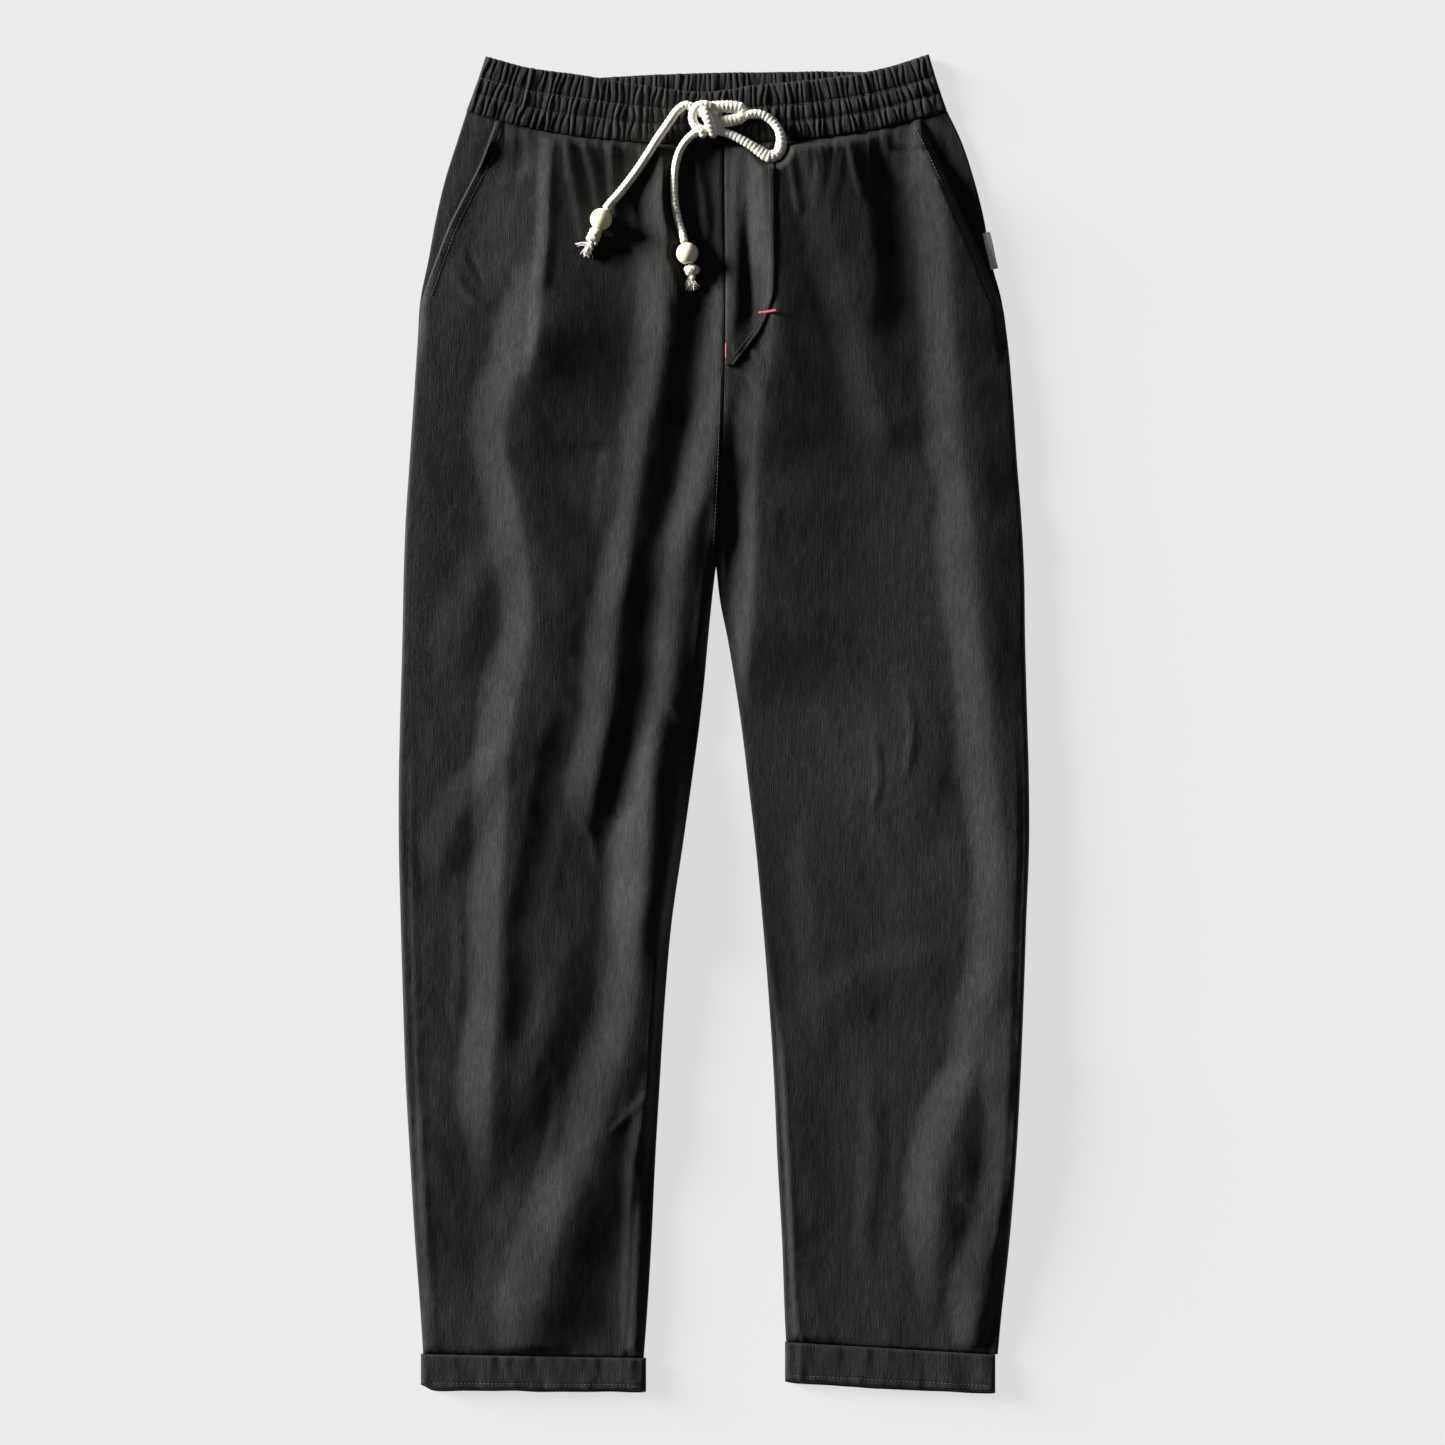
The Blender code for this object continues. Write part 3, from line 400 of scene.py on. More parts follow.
# Smaller creases. A negative rise is a hollow
CREASES = (
    Fold("left_side", 0.004, 0.006, 0.084, 0.8, 0.07, (
        (-0.212, 0.356), (-0.22, 0.296), (-0.23, 0.206), (-0.234, 0.093), (-0.235, -0.057),
        (-0.232, -0.207), (-0.226, -0.319), (-0.22, -0.432),
    )),
    Fold("fly_seam", 0.002, 0.009, 0.009, 0.4, 0.03, (
        (0.017, 0.476), (0.016, 0.363), (0.016, 0.326), (0.013, 0.281),
    )),
    Fold("fly_swell", 0.0045, 0.044, 0.06, 0.6, 0.05, (
        (0.046, 0.483), (0.048, 0.416), (0.05, 0.356), (0.047, 0.296), (0.04, 0.243), (0.036, 0.183),
    )),
    Fold("hip_rise", 0.0025, 0.045, 0.016, 0, 0.025, ((-0.13, 0.461), (-0.13, 0.371), (-0.138, 0.311))),
    Fold("hip_lump", 0.002, 0.026, 0.03, 0.3, 0.04, (
        (-0.146, 0.153), (-0.168, 0.114), (-0.184, 0.086), (-0.196, 0.026),
    )),
    Fold("thigh_arc", 0.0028, 0.022, 0.024, 0.5, 0.034, (
        (-0.149, -0.008), (-0.177, -0.049), (-0.195, -0.079), (-0.21, -0.124),
    )),
    Fold("pocket_crease_a", -0.001, 0.005, 0.005, 0, 0.01, (
        (-0.186, 0.36), (-0.178, 0.341), (-0.171, 0.324),
    )),
    Fold("pocket_crease_b", -0.001, 0.005, 0.005, 0, 0.01, (
        (-0.158, 0.342), (-0.151, 0.333), (-0.144, 0.32),
    )),
    Fold("pocket_crease_c", 0.001, 0.005, 0.006, 0.4, 0.01, (
        (-0.196, 0.342), (-0.183, 0.321), (-0.166, 0.309),
    )),
    Fold("pocket_hollow", -0.0034, 0.022, 0.018, 0, 0.02, (
        (-0.189, 0.428), (-0.153, 0.425), (-0.127, 0.419),
    )),
    Fold("band_fan_a", 0.0016, 0.006, 0.01, 0.4, 0.018, (
        (-0.114, 0.476), (-0.111, 0.446), (-0.105, 0.401), (-0.094, 0.352),
    )),
    Fold("band_fan_b", 0.0015, 0.005, 0.008, 0.4, 0.014, (
        (-0.1, 0.476), (-0.098, 0.444), (-0.09, 0.408), (-0.084, 0.372),
    )),
    Fold("band_fan_c", 0.0016, 0.005, 0.008, 0.4, 0.016, (
        (-0.08, 0.476), (-0.078, 0.444), (-0.076, 0.401), (-0.074, 0.356),
    )),
    Fold("band_fan_d", 0.0018, 0.004, 0.006, 0.4, 0.01, (
        (-0.062, 0.476), (-0.058, 0.446), (-0.054, 0.429), (-0.051, 0.408),
    )),
    Fold("band_fan_e", 0.0018, 0.007, 0.008, 0.4, 0.022, (
        (-0.044, 0.476), (-0.04, 0.431), (-0.036, 0.393), (-0.033, 0.356), (-0.022, 0.303),
    )),
    Fold("band_fan_f", 0.0018, 0.005, 0.007, 0.4, 0.018, (
        (-0.021, 0.476), (-0.018, 0.438), (-0.008, 0.393), (-0.006, 0.341),
    )),
    Fold("band_fan_g", 0.0016, 0.004, 0.006, 0.4, 0.01, (
        (-0.036, 0.476), (-0.032, 0.447), (-0.026, 0.431), (-0.018, 0.412),
    )),
    Fold("middle_lobe", 0.002, 0.012, 0.011, 0.2, 0.03, ((-0.074, 0.221), (-0.08, 0.18), (-0.084, 0.135))),
    Fold("inner_stripe", 0.0026, 0.012, 0.012, 0.2, 0.04, (
        (0.008, 0.183), (0.002, 0.123), (-0.004, 0.078), (-0.009, 0.018),
    )),
    Fold("long_hollow", -0.0014, 0.016, 0.016, 0, 0.04, (
        (-0.108, 0.018), (-0.118, -0.034), (-0.128, -0.087), (-0.14, -0.147), (-0.141, -0.207),
        (-0.154, -0.252),
    )),
    Fold("shin_plain", 0.002, 0.045, 0.034, 0, 0.06, ((-0.097, -0.102), (-0.1, -0.177), (-0.111, -0.252))),
    Fold("hem_left_ridge", 0.002, 0.006, 0.05, 0.6, 0.05, (
        (-0.22, -0.267), (-0.216, -0.379), (-0.21, -0.507),
    )),
    Fold("hem_left_plain", 0.0025, 0.03, 0.026, 0, 0.04, (
        (-0.146, -0.342), (-0.153, -0.417), (-0.16, -0.507),
    )),
    Fold("hem_thin", 0.0013, 0.004, 0.005, 0.5, 0.014, (
        (-0.044, -0.271), (-0.062, -0.289), (-0.081, -0.309),
    )),
    Fold("knee_arc_a", 0.0012, 0.007, 0.009, 0.3, 0.024, (
        (-0.052, 0.026), (-0.032, 0.015), (-0.015, -0.012),
    )),
    Fold("knee_arc_b", 0.001, 0.006, 0.008, 0.3, 0.024, (
        (-0.116, -0.057), (-0.093, -0.079), (-0.086, -0.117),
    )),
    Fold("shin_a", 0.001, 0.008, 0.01, 0.3, 0.03, ((-0.194, -0.132), (-0.189, -0.177), (-0.196, -0.229))),
    Fold("shin_b", 0.0009, 0.007, 0.009, 0.3, 0.03, ((-0.116, -0.252), (-0.118, -0.297), (-0.13, -0.342))),
    Fold("crotch_wedge", -0.0008, 0.008, 0.009, 0, 0.03, (
        (0.012, 0.243), (0.014, 0.206), (0.013, 0.153), (0.01, 0.119),
    )),
    Fold("fly_hollow", -0.0012, 0.006, 0.006, 0, 0.014, ((0.028, 0.401), (0.026, 0.356), (0.027, 0.296))),
    Fold("groove_top", -0.0012, 0.009, 0.008, 0, 0.012, ((0.114, 0.461), (0.128, 0.416), (0.146, 0.393))),
    Fold("groove_down", -0.0012, 0.018, 0.017, 0, 0.04, ((0.123, 0.446), (0.134, 0.356), (0.137, 0.258))),
    Fold("hip_fan", 0.0026, 0.036, 0.024, 0, 0.04, (
        (0.111, 0.476), (0.114, 0.393), (0.12, 0.341), (0.128, 0.288),
    )),
    Fold("hip_crease_right", -0.0016, 0.005, 0.005, 0, 0.01, (
        (0.13, 0.432), (0.151, 0.429), (0.173, 0.432),
    )),
    Fold("hip_puff_right", 0.002, 0.014, 0.016, 0.2, 0.016, (
        (0.14, 0.414), (0.158, 0.408), (0.177, 0.396),
    )),
    Fold("fan_right_b", 0.0012, 0.005, 0.007, 0.4, 0.01, (
        (0.096, 0.476), (0.098, 0.444), (0.104, 0.42), (0.111, 0.39),
    )),
    Fold("fan_right_c", 0.0014, 0.005, 0.007, 0.4, 0.012, (
        (0.184, 0.476), (0.187, 0.438), (0.193, 0.401), (0.196, 0.371),
    )),
    Fold("fan_middle", 0.0014, 0.004, 0.007, 0.4, 0.01, (
        (0.051, 0.476), (0.054, 0.443), (0.058, 0.412), (0.064, 0.378),
    )),
    Fold("thigh_step", 0.002, 0.05, 0.024, 0.1, 0.05, (
        (0.064, -0.222), (0.102, -0.195), (0.14, -0.183), (0.196, -0.165),
    )),
    Fold("inner_edge_right", 0.003, 0.005, 0.05, 0.7, 0.05, (
        (0.05, -0.207), (0.057, -0.342), (0.064, -0.507),
    )),
    Fold("knee_plain", 0.0025, 0.07, 0.05, 0, 0.08, ((0.143, 0.063), (0.148, -0.012), (0.14, -0.117))),
    Fold("thigh_mark_a", 0.0008, 0.004, 0.006, 0.3, 0.018, (
        (0.142, 0.033), (0.148, -0.004), (0.142, -0.045),
    )),
    Fold("thigh_mark_b", 0.0007, 0.004, 0.006, 0.3, 0.018, ((0.118, 0), (0.123, -0.038), (0.116, -0.072))),
    Fold("calf_mark", 0.0011, 0.012, 0.014, 0.2, 0.04, ((0.116, -0.252), (0.118, -0.327), (0.111, -0.402))),
    Fold("calf_spur", 0.0012, 0.005, 0.006, 0.4, 0.008, ((0.179, -0.351), (0.189, -0.357), (0.2, -0.366))),
)

# Creases of the hidden side, for the left leg. The right leg has them mirrored
BACK_CREASES = (
    Fold("seat", 0.0009, 0.02, 0.024, 0.2, 0.05, ((-0.05, 0.4), (-0.08, 0.3), (-0.085, 0.2), (-0.075, 0.12))),
    Fold("thigh", 0.0011, 0.018, 0.02, 0.3, 0.05, ((-0.15, 0.3), (-0.16, 0.15), (-0.15, 0), (-0.165, -0.12))),
    Fold("knee", 0.001, 0.016, 0.018, 0.3, 0.05, (
        (-0.09, 0.02), (-0.11, -0.1), (-0.125, -0.2), (-0.12, -0.32),
    )),
    Fold("calf", 0.0008, 0.014, 0.015, 0.3, 0.05, ((-0.18, -0.2), (-0.175, -0.3), (-0.185, -0.42))),
)

# A painted highlight on the flanks of folds that face the light from the left: how much lighter it paints
# them, at which slope it is full, and how far apart the slope is read
LIT_FLANK_PAINT = 0.3
LIT_FLANK_SLOPE = 0.35
LIT_FLANK_STEP = 0.004

# Patches of painted shade where the strength is below 0, and of painted light where it is above 0
PAINTED_SHADE_AND_LIGHT_PATCHES = (
    Patch(0.11, -0.07, 0.06, 0.11, 0.25),
    Patch(0.115, 0.19, 0.05, 0.18, -0.3),
    Patch(0.09, 0.25, 0.03, 0.14, -0.2),
    Patch(0.11, -0.2, 0.07, 0.03, -0.35),
    Patch(0.145, 0.375, 0.014, 0.034, -0.6),
    Patch(-0.19, 0.24, 0.03, 0.07, -0.2),
    Patch(-0.178, 0.225, 0.014, 0.06, -0.5),
    Patch(-0.078, 0.326, 0.03, 0.035, -0.4),
    Patch(-0.018, 0.34, 0.012, 0.06, -0.4),
    Patch(-0.153, 0.42, 0.036, 0.026, -0.9),
    Patch(0.05, -0.34, 0.02, 0.16, -0.2),
)


def blend(value, low, high):
    """Run smoothly from 0 at low to 1 at high."""
    t = np.clip((value - low) / (high - low), 0, 1)
    return t * t * (3 - 2 * t)


def smooth_read(rows, key, column, at):
    """Read a table's column at any value of its key, on one smooth curve through the rows."""
    table = sorted(rows, key=lambda row: getattr(row, key))
    knots = np.array([getattr(row, key) for row in table])
    values = np.array([getattr(row, column) for row in table])
    slopes = np.gradient(values, knots)
    place = np.clip(np.searchsorted(knots, at) - 1, 0, len(knots) - 2)
    span = knots[place + 1] - knots[place]
    t = np.clip((at - knots[place]) / span, 0, 1)
    start = values[place] * (1 + 2 * t) * (1 - t) ** 2
    end = values[place + 1] * t * t * (3 - 2 * t)
    leave = slopes[place] * span * t * (1 - t) ** 2
    arrive = slopes[place + 1] * span * t * t * (1 - t)
    return start + end + leave - arrive


def smooth_path(points, steps):
    """Points on a smooth curve through the given ones."""
    points = [np.array(point, dtype=float) for point in points]
    points = [2 * points[0] - points[1]] + points + [2 * points[-1] - points[-2]]
    path = []
    for before, start, end, after in zip(points, points[1:], points[2:], points[3:]):
        for step in range(steps):
            t = step / steps
            square = 2 * before - 5 * start + 4 * end - after
            cube = 3 * start - before - 3 * end + after
            path.append(0.5 * (2 * start + (end - before) * t + square * t**2 + cube * t**3))
    path.append(points[-2])
    return np.array(path)


def even_path(points, spacing):
    """The same curve, with its points a set distance apart."""
    path = smooth_path(points, 12)
    run = np.concatenate([[0], np.cumsum(np.linalg.norm(np.diff(path, axis=0), axis=1))])
    stations = np.linspace(0, run[-1], max(2, int(round(run[-1] / spacing)) + 1))
    return np.stack([np.interp(stations, run, path[:, axis]) for axis in range(path.shape[1])], axis=1)


def noise(x, y, cell_x, cell_y, seed):
    """Smooth random values from -1 to 1, one for each cell."""
    lattice = np.random.default_rng(seed).uniform(-1, 1, (67, 67))
    across = np.asarray(x) / cell_x + 31.3
    along = np.asarray(y) / cell_y + 29.7
    column = np.floor(across).astype(int)
    row = np.floor(along).astype(int)
    s = across - column
    t = along - row
    s = s * s * (3 - 2 * s)
    t = t * t * (3 - 2 * t)
    near = lattice[row % 67, column % 67] * (1 - s) + lattice[row % 67, (column + 1) % 67] * s
    far = lattice[(row + 1) % 67, column % 67] * (1 - s) + lattice[(row + 1) % 67, (column + 1) % 67] * s
    return near * (1 - t) + far * t


def side_edge(side, y):
    """The outline at a side, where front and back meet."""
    return smooth_read(SILHOUETTE, "y", side, y)


def front_edge(side, y):
    """The front panel's outer edge: the pocket mouth, then the side."""
    mouth = smooth_read(POCKET_MOUTH, "y", side, y)
    return np.where(y > POCKET_LOW_Y, mouth, side_edge(side, y))


def inner_edge(side, y):
    """The middle seam, sewn shut, and below the crotch the leg's inner edge."""
    seam = smooth_read(CENTRE_SEAM, "y", side, y) + (SEAM_LAP if side == "left" else 0)
    return np.where(y > CROTCH_Y, seam, smooth_read(INSEAM, "y", side, y))


def waist_seam(x):
    """The waistband's lower edge curves up towards the sides."""
    return 0.4354 + 0.0247 * (np.abs(x + 0.006) / 0.18) ** 2.5


def cuff_edge(side, x):
    """The upper edge of a turned-up cuff."""
    cuff = CUFFS[side]
    share = (x - cuff.x_low) / (cuff.x_high - cuff.x_low)
    return cuff.top_low + share * (cuff.top_high - cuff.top_low)


def row_y(side, x, fraction):
    """The height up the leg of a row of points, from 0 at the waist to 1 at the cuff."""
    top = waist_seam(x) - GAP
    end = cuff_edge(side, x) + GAP
    return top + fraction * (end - top)


def edge_x(edge, side, fraction):
    """Find where each row meets a panel's curved edge."""
    y = row_y(side, 0, fraction)
    for _ in range(10):
        x = edge(side, y)
        y = row_y(side, x, fraction)
    return x


def fold_rise(fold, x, y, seed):
    """How far a fold lifts the cloth at each x and y. Its crest is soft at 0 and sharp at 1."""
    path = smooth_path(fold.path, 5)
    reach = 1.2 * max(fold.left_width, fold.right_width)
    low = path.min(axis=0) - reach
    high = path.max(axis=0) + reach
    near = (x > low[0]) & (x < high[0]) & (y > low[1]) & (y < high[1])
    rise = np.zeros(np.shape(x))
    if not near.any():
        return rise
    px = x[near]
    py = y[near]
    nearest = np.full(px.shape, 1e9)
    width = np.full(px.shape, 1.0)
    along = np.zeros(px.shape)
    travelled = 0.0
    for start, end in zip(path, path[1:]):
        step = end - start
        length = np.hypot(*step)
        t = np.clip(((px - start[0]) * step[0] + (py - start[1]) * step[1]) / length**2, 0, 1)
        distance = np.hypot(px - start[0] - t * step[0], py - start[1] - t * step[1])
        on_right = step[0] * (py - start[1]) - step[1] * (px - start[0]) > 0
        closer = distance < nearest
        nearest = np.where(closer, distance, nearest)
        width = np.where(closer, np.where(on_right, fold.right_width, fold.left_width), width)
        along = np.where(closer, travelled + t * length, along)
        travelled += length
    ends = blend(np.minimum(along, travelled - along), 0, min(fold.fade, travelled * 0.5))
    uneven = noise(along, along * 0, 0.028, 1, seed)
    width = width * (0.5 + 0.5 * ends) * (1 + 0.16 * noise(along, along * 0, 0.04, 1, seed + 1))
    share = np.clip(nearest / width, 0, 1)
    soft = (1 - share**2) ** 2
    rounding = 0.12
    slope = np.sqrt(share**2 + rounding**2) - rounding
    sharp = np.clip(1 - slope / (math.sqrt(1 + rounding**2) - rounding), 0, 1) ** 1.35
    profile = soft + fold.crest * (sharp - soft)
    rise[near] = fold.rise * (1 + 0.14 * uneven) * profile * ends
    return rise


def edge_fades(side, x, y, reach):
    """Folds die away at a panel's edges, but run on across the middle seam."""
    outer = blend(np.abs(x - front_edge(side, y)), 0, reach)
    outer = np.maximum(outer, 1 - blend(y, POCKET_LOW_Y - 0.05, POCKET_LOW_Y - 0.004))
    inner = blend(np.abs(x - inner_edge(side, y)), 0, reach)
    inner = inner + (1 - inner) * blend(y, CROTCH_Y - 0.002, CROTCH_Y + 0.028)
    return outer * inner * blend(waist_seam(x) - y, 0, reach) * blend(y - cuff_edge(side, x), 0, reach)


def panel_folds(side, x, y):
    """All the folds and creases of the fronts."""
    main = np.zeros(np.shape(x))
    for seed, fold in enumerate(MAIN_FOLDS):
        main += fold_rise(fold, x, y, FOLD_SEED + 2 * seed)
    small = np.zeros(np.shape(x))
    for seed, fold in enumerate(CREASES):
        small += fold_rise(fold, x, y, CREASE_SEED + 2 * seed)
    return main * edge_fades(side, x, y, FOLD_EDGE_FADE) + small * edge_fades(side, x, y, CREASE_EDGE_FADE)


def under_cords(x, y, height):
    """Press the cloth down under the drawstring and what is on it."""
    for route, diameter in ((LEFT_TAIL, LEFT_CORD), (RIGHT_TAIL, RIGHT_CORD), (LARGE_LOOP, LOOP_CORD)):
        path = even_path(route, 0.003)
        for start, end in zip(path, path[1:]):
            step = end - start
            t = ((x - start[0]) * step[0] + (y - start[1]) * step[1]) / (step[0] ** 2 + step[1] ** 2)
            t = np.clip(t, 0, 1)
            away = (x - start[0] - t * step[0]) ** 2 + (y - start[1] - t * step[1]) ** 2
            cord_low = start[2] + t * step[2] - diameter / 2
            height = np.minimum(height, cord_low - CLEAR + away / (1.3 * diameter))
    for place, radius in PRESSED:
        away = (x - place[0]) ** 2 + (y - place[1]) ** 2
        height = np.minimum(height, place[2] - radius - CLEAR + away / (2.6 * radius))
    return height


def crumple(x, y):
    """Small undulations of washed linen, longer along the leg than across it."""
    wide = 0.00055 * noise(x, y, 0.034, 0.06, 11)
    middle = 0.00032 * noise(x + 0.3 * y, y, 0.013, 0.024, 12)
    small = 0.00014 * noise(x - 0.2 * y, y, 0.0062, 0.011, 13)
    fine = 0.00006 * noise(x, y, 0.0032, 0.0075, 14)
    return wide + middle + small + fine


def gather_ribs(x, down):
    """Gathers of the waistband that run on into the legs, each for its own length."""
    phase = x / 0.0049 + 0.35 * noise(x, down, 0.012, 0.02, 21)
    strength = 0.55 + 0.45 * noise(x, x * 0, 0.011, 1, 22)
    reach = 0.006 + 0.02 * np.clip(0.45 + noise(x, x * 0, 0.017, 1, 23), 0, 1)
    merged = np.sin(math.pi * (x / 0.0136 + 0.5 * noise(x, down, 0.03, 0.05, 24)))
    broad = 0.0009 * (np.abs(merged) - 0.5) * np.exp(-down / (2.2 * reach))
    return 0.0011 * strength * (np.abs(np.sin(math.pi * phase)) - 0.5) * np.exp(-down / reach) + broad


def seam_relief(distance, along, seed):
    """A sewn seam seen from the front: a groove, the seam allowance beside it, and little puckers."""
    groove = -0.0006 * np.exp(-((distance / 0.0009) ** 2))
    allowance = 0.00045 * np.exp(-(((distance - 0.0035) / 0.0028) ** 2))
    pucker = 0.00035 * noise(along, distance, 0.0042, 0.006, seed) * np.exp(-((distance / 0.006) ** 2))
    return groove + allowance + pucker


def front_height(side, x, y):
    """The top of the front, with its folds, which die away at the panel's edges."""
    rise = panel_folds(side, x, y)
    outer = np.abs(x - front_edge(side, y))
    inner = np.abs(x - inner_edge(side, y))
    seam_down = waist_seam(x) - y
    cuff_up = y - cuff_edge(side, x)
    edge_calm = 0.35 + 0.65 * blend(np.minimum(outer, inner), 0, 0.012)
    height = LEG_DEPTH + rise + crumple(x, y) * edge_calm
    height = height + gather_ribs(x, np.maximum(seam_down, 0)) * (1 - blend(seam_down, 0.03, 0.075))
    height = height - 0.0014 * (1 - blend(seam_down, 0, 0.005))
    height = height - 0.0006 * (1 - blend(cuff_up, 0, 0.004))
    inseam = smooth_read(ROLLED_INSEAM, "y", side, y)
    towards = 1 if side == "left" else -1
    low_leg = blend(-y, 0.13, 0.2)
    height = height + low_leg * seam_relief(towards * (inseam - x), y, 31)
    side_seam = outer - SIDE_SEAM_IN
    height = height + blend(-y, -0.02, 0.08) * 0.8 * seam_relief(side_seam, y, 32)
    middle = np.where(y > CROTCH_Y, seam_relief(inner - 0.0004, y, 33), 0)
    height = height + middle * (1 if side == "left" else 0.15)
    mouth = np.where(y > POCKET_LOW_Y - 0.006, 1, 0) * 0.0007 * np.exp(-(((outer - 0.0028) / 0.0022) ** 2))
    height = height + mouth * blend(y, POCKET_LOW_Y - 0.006, POCKET_LOW_Y + 0.01)
    pucker_place = np.exp(-(((x - 0.03) / 0.024) ** 2) - ((y - 0.268) / 0.028) ** 2)
    height = height + pucker_place * 0.0009 * noise(x + 0.6 * y, y - 0.4 * x, 0.0062, 0.014, 34)
    return under_cords(x, y, height)


def tone_and_painted_light(x, y):
    """How light the cloth is painted, as a factor on its colour: a random tone, patches of painted shade and
    light, and a painted highlight on lit flanks.
    """
    value = 0.1 * noise(x, y, 0.05, 0.11, 41) + 0.08 * noise(x, y, 0.016, 0.04, 42)
    # Patches of painted shade and painted light
    for patch in PAINTED_SHADE_AND_LIGHT_PATCHES:
        spread = ((x - patch.x) / patch.half_x) ** 2 + ((y - patch.y) / patch.half_y) ** 2
        value = value + patch.strength * np.exp(-spread)
    # Add the painted highlight on the flanks that face the light
    return 2 ** (value + LIT_FLANK_PAINT * painted_flank_highlight(x, y))


def painted_flank_highlight(x, y):
    """A painted highlight on the flanks of folds that face the light from the left."""
    rise = np.zeros(np.shape(x))
    for number, fold in enumerate(MAIN_FOLDS):
        seed = FOLD_SEED + 2 * number
        rise += fold_rise(fold, x + LIT_FLANK_STEP, y, seed) - fold_rise(fold, x - LIT_FLANK_STEP, y, seed)
    return np.clip(rise / (2 * LIT_FLANK_STEP) / LIT_FLANK_SLOPE, 0, 1)


def grid_faces(rows, columns, start=0, wrap=False):
    """The quads of a grid of points, row by row. A wrapped grid's last column meets its first."""
    place = np.arange(columns if wrap else columns - 1)
    beside = (place + 1) % columns
    low = start + np.arange(rows - 1)[:, None] * columns
    high = low + columns
    return np.stack([low + place, low + beside, high + beside, high + place], -1).reshape(-1, 4)


def new_piece(name, points, faces, replaced=(), facing=True):
    """Make a piece of the garment from its points and faces."""
    mesh = bpy.data.meshes.new(name)
    corners = [[int(corner) for corner in face] for face in faces]
    mesh.from_pydata(np.asarray(points).reshape(-1, 3).tolist(), [], corners)
    if facing:
        mesh_maker = bmesh.new()
        mesh_maker.from_mesh(mesh)
        mesh_maker.normal_update()
        bmesh.ops.recalc_face_normals(mesh_maker, faces=mesh_maker.faces)
        mesh_maker.to_mesh(mesh)
        mesh_maker.free()
    mesh.shade_smooth()
    piece = bpy.data.objects.new(name, mesh)
    bpy.context.scene.collection.objects.link(piece)
    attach(piece, "root")
    if replaced:
        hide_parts(*replaced)
    return piece


def wall_parts(outer, inner):
    """The points and faces of a closed wall between two grids of the same size."""
    rows, columns = outer.shape[:2]
    count = rows * columns
    ids = np.arange(count).reshape(rows, columns)
    loop = np.concatenate([ids[0, :-1], ids[:-1, -1], ids[-1, :0:-1], ids[:0:-1, 0]])
    after = np.roll(loop, -1)
    rim = np.stack([loop, after, after + count, loop + count], -1)
    points = np.concatenate([outer.reshape(-1, 3), inner.reshape(-1, 3)])
    faces = np.concatenate([grid_faces(rows, columns), grid_faces(rows, columns, count), rim])
    return points, faces


def paint_tone_and_light(piece):
    """Store the cloth's tone at each point, painted shade and painted highlights included, for the cloth's
    material.
    """
    mesh = piece.data
    places = np.empty(len(mesh.vertices) * 3)
    mesh.vertices.foreach_get("co", places)
    places = places.reshape(-1, 3)
    layer = mesh.attributes.new("tone_and_painted_light", "FLOAT", "POINT")
    layer.data.foreach_set("value", tone_and_painted_light(places[:, 0], places[:, 1]).astype(np.float32))


def turned_columns(flat_columns, edge_steps):
    """Columns across a panel: round the outer edge, over the flat, and round the inner edge."""
    angles = np.linspace(0, math.pi / 2, edge_steps + 1)
    flat = np.linspace(0, 1, flat_columns + 1)[1:-1]
    kinds = ["outer"] * len(angles) + ["flat"] * len(flat) + ["inner"] * len(angles)
    return kinds, np.concatenate([angles, flat, angles[::-1]])


def leg_panel(side, is_front, rows, flat_columns):
    """The skins of one leg panel, which lies flat and turns over round its edges."""
    towards = 1 if side == "left" else -1
    fraction = np.linspace(0, 1, rows)
    outer_x = edge_x(front_edge if is_front else side_edge, side, fraction)
    inner_x = edge_x(inner_edge, side, fraction)
    outer_y = row_y(side, outer_x, fraction)
    inner_y = row_y(side, inner_x, fraction)
    at_mouth = blend(outer_y, POCKET_LOW_Y - 0.014, POCKET_LOW_Y - 0.001) if is_front else 0 * outer_y
    at_seam = blend(inner_y, CROTCH_Y - 0.009, CROTCH_Y - 0.001)
    side_rim = MIDDLE_HEIGHT + (GAP / 2 if is_front else -GAP / 2)
    outer_rim = side_rim + at_mouth * (LEG_DEPTH - SHELL - 0.0004 - side_rim)
    seam_drop = SEAM_ROUND if side == "left" else LIT_SEAM_ROUND
    seam_rim = front_height(side, inner_x, inner_y) - seam_drop if is_front else SEAM_ROUND
    inner_rim = side_rim + at_seam * (seam_rim - side_rim)
    inner_round = SIDE_ROUND + at_seam * (seam_drop - SIDE_ROUND)
    kinds, values = turned_columns(flat_columns, 5)
    skins = []
    for wall in (0, SHELL):
        x = np.empty((rows, len(kinds)))
        rim = np.zeros_like(x)
        lift = np.ones_like(x)
        for place, (kind, value) in enumerate(zip(kinds, values)):
            if kind == "flat":
                start = outer_x + towards * SIDE_ROUND
                end = inner_x - towards * inner_round
                x[:, place] = start + value * (end - start)
                continue
            reach = SIDE_ROUND if kind == "outer" else inner_round
            across = reach - (reach - wall) * math.cos(value)
            x[:, place] = outer_x + towards * across if kind == "outer" else inner_x - towards * across
            rim[:, place] = outer_rim if kind == "outer" else inner_rim
            lift[:, place] = math.sin(value)
        y = row_y(side, x, fraction[:, None])
        top = front_height(side, x, y) - wall if is_front else back_height(side, x, y) + wall
        skins.append(np.stack([x, y, rim + (top - rim) * lift], axis=-1))
    return skins


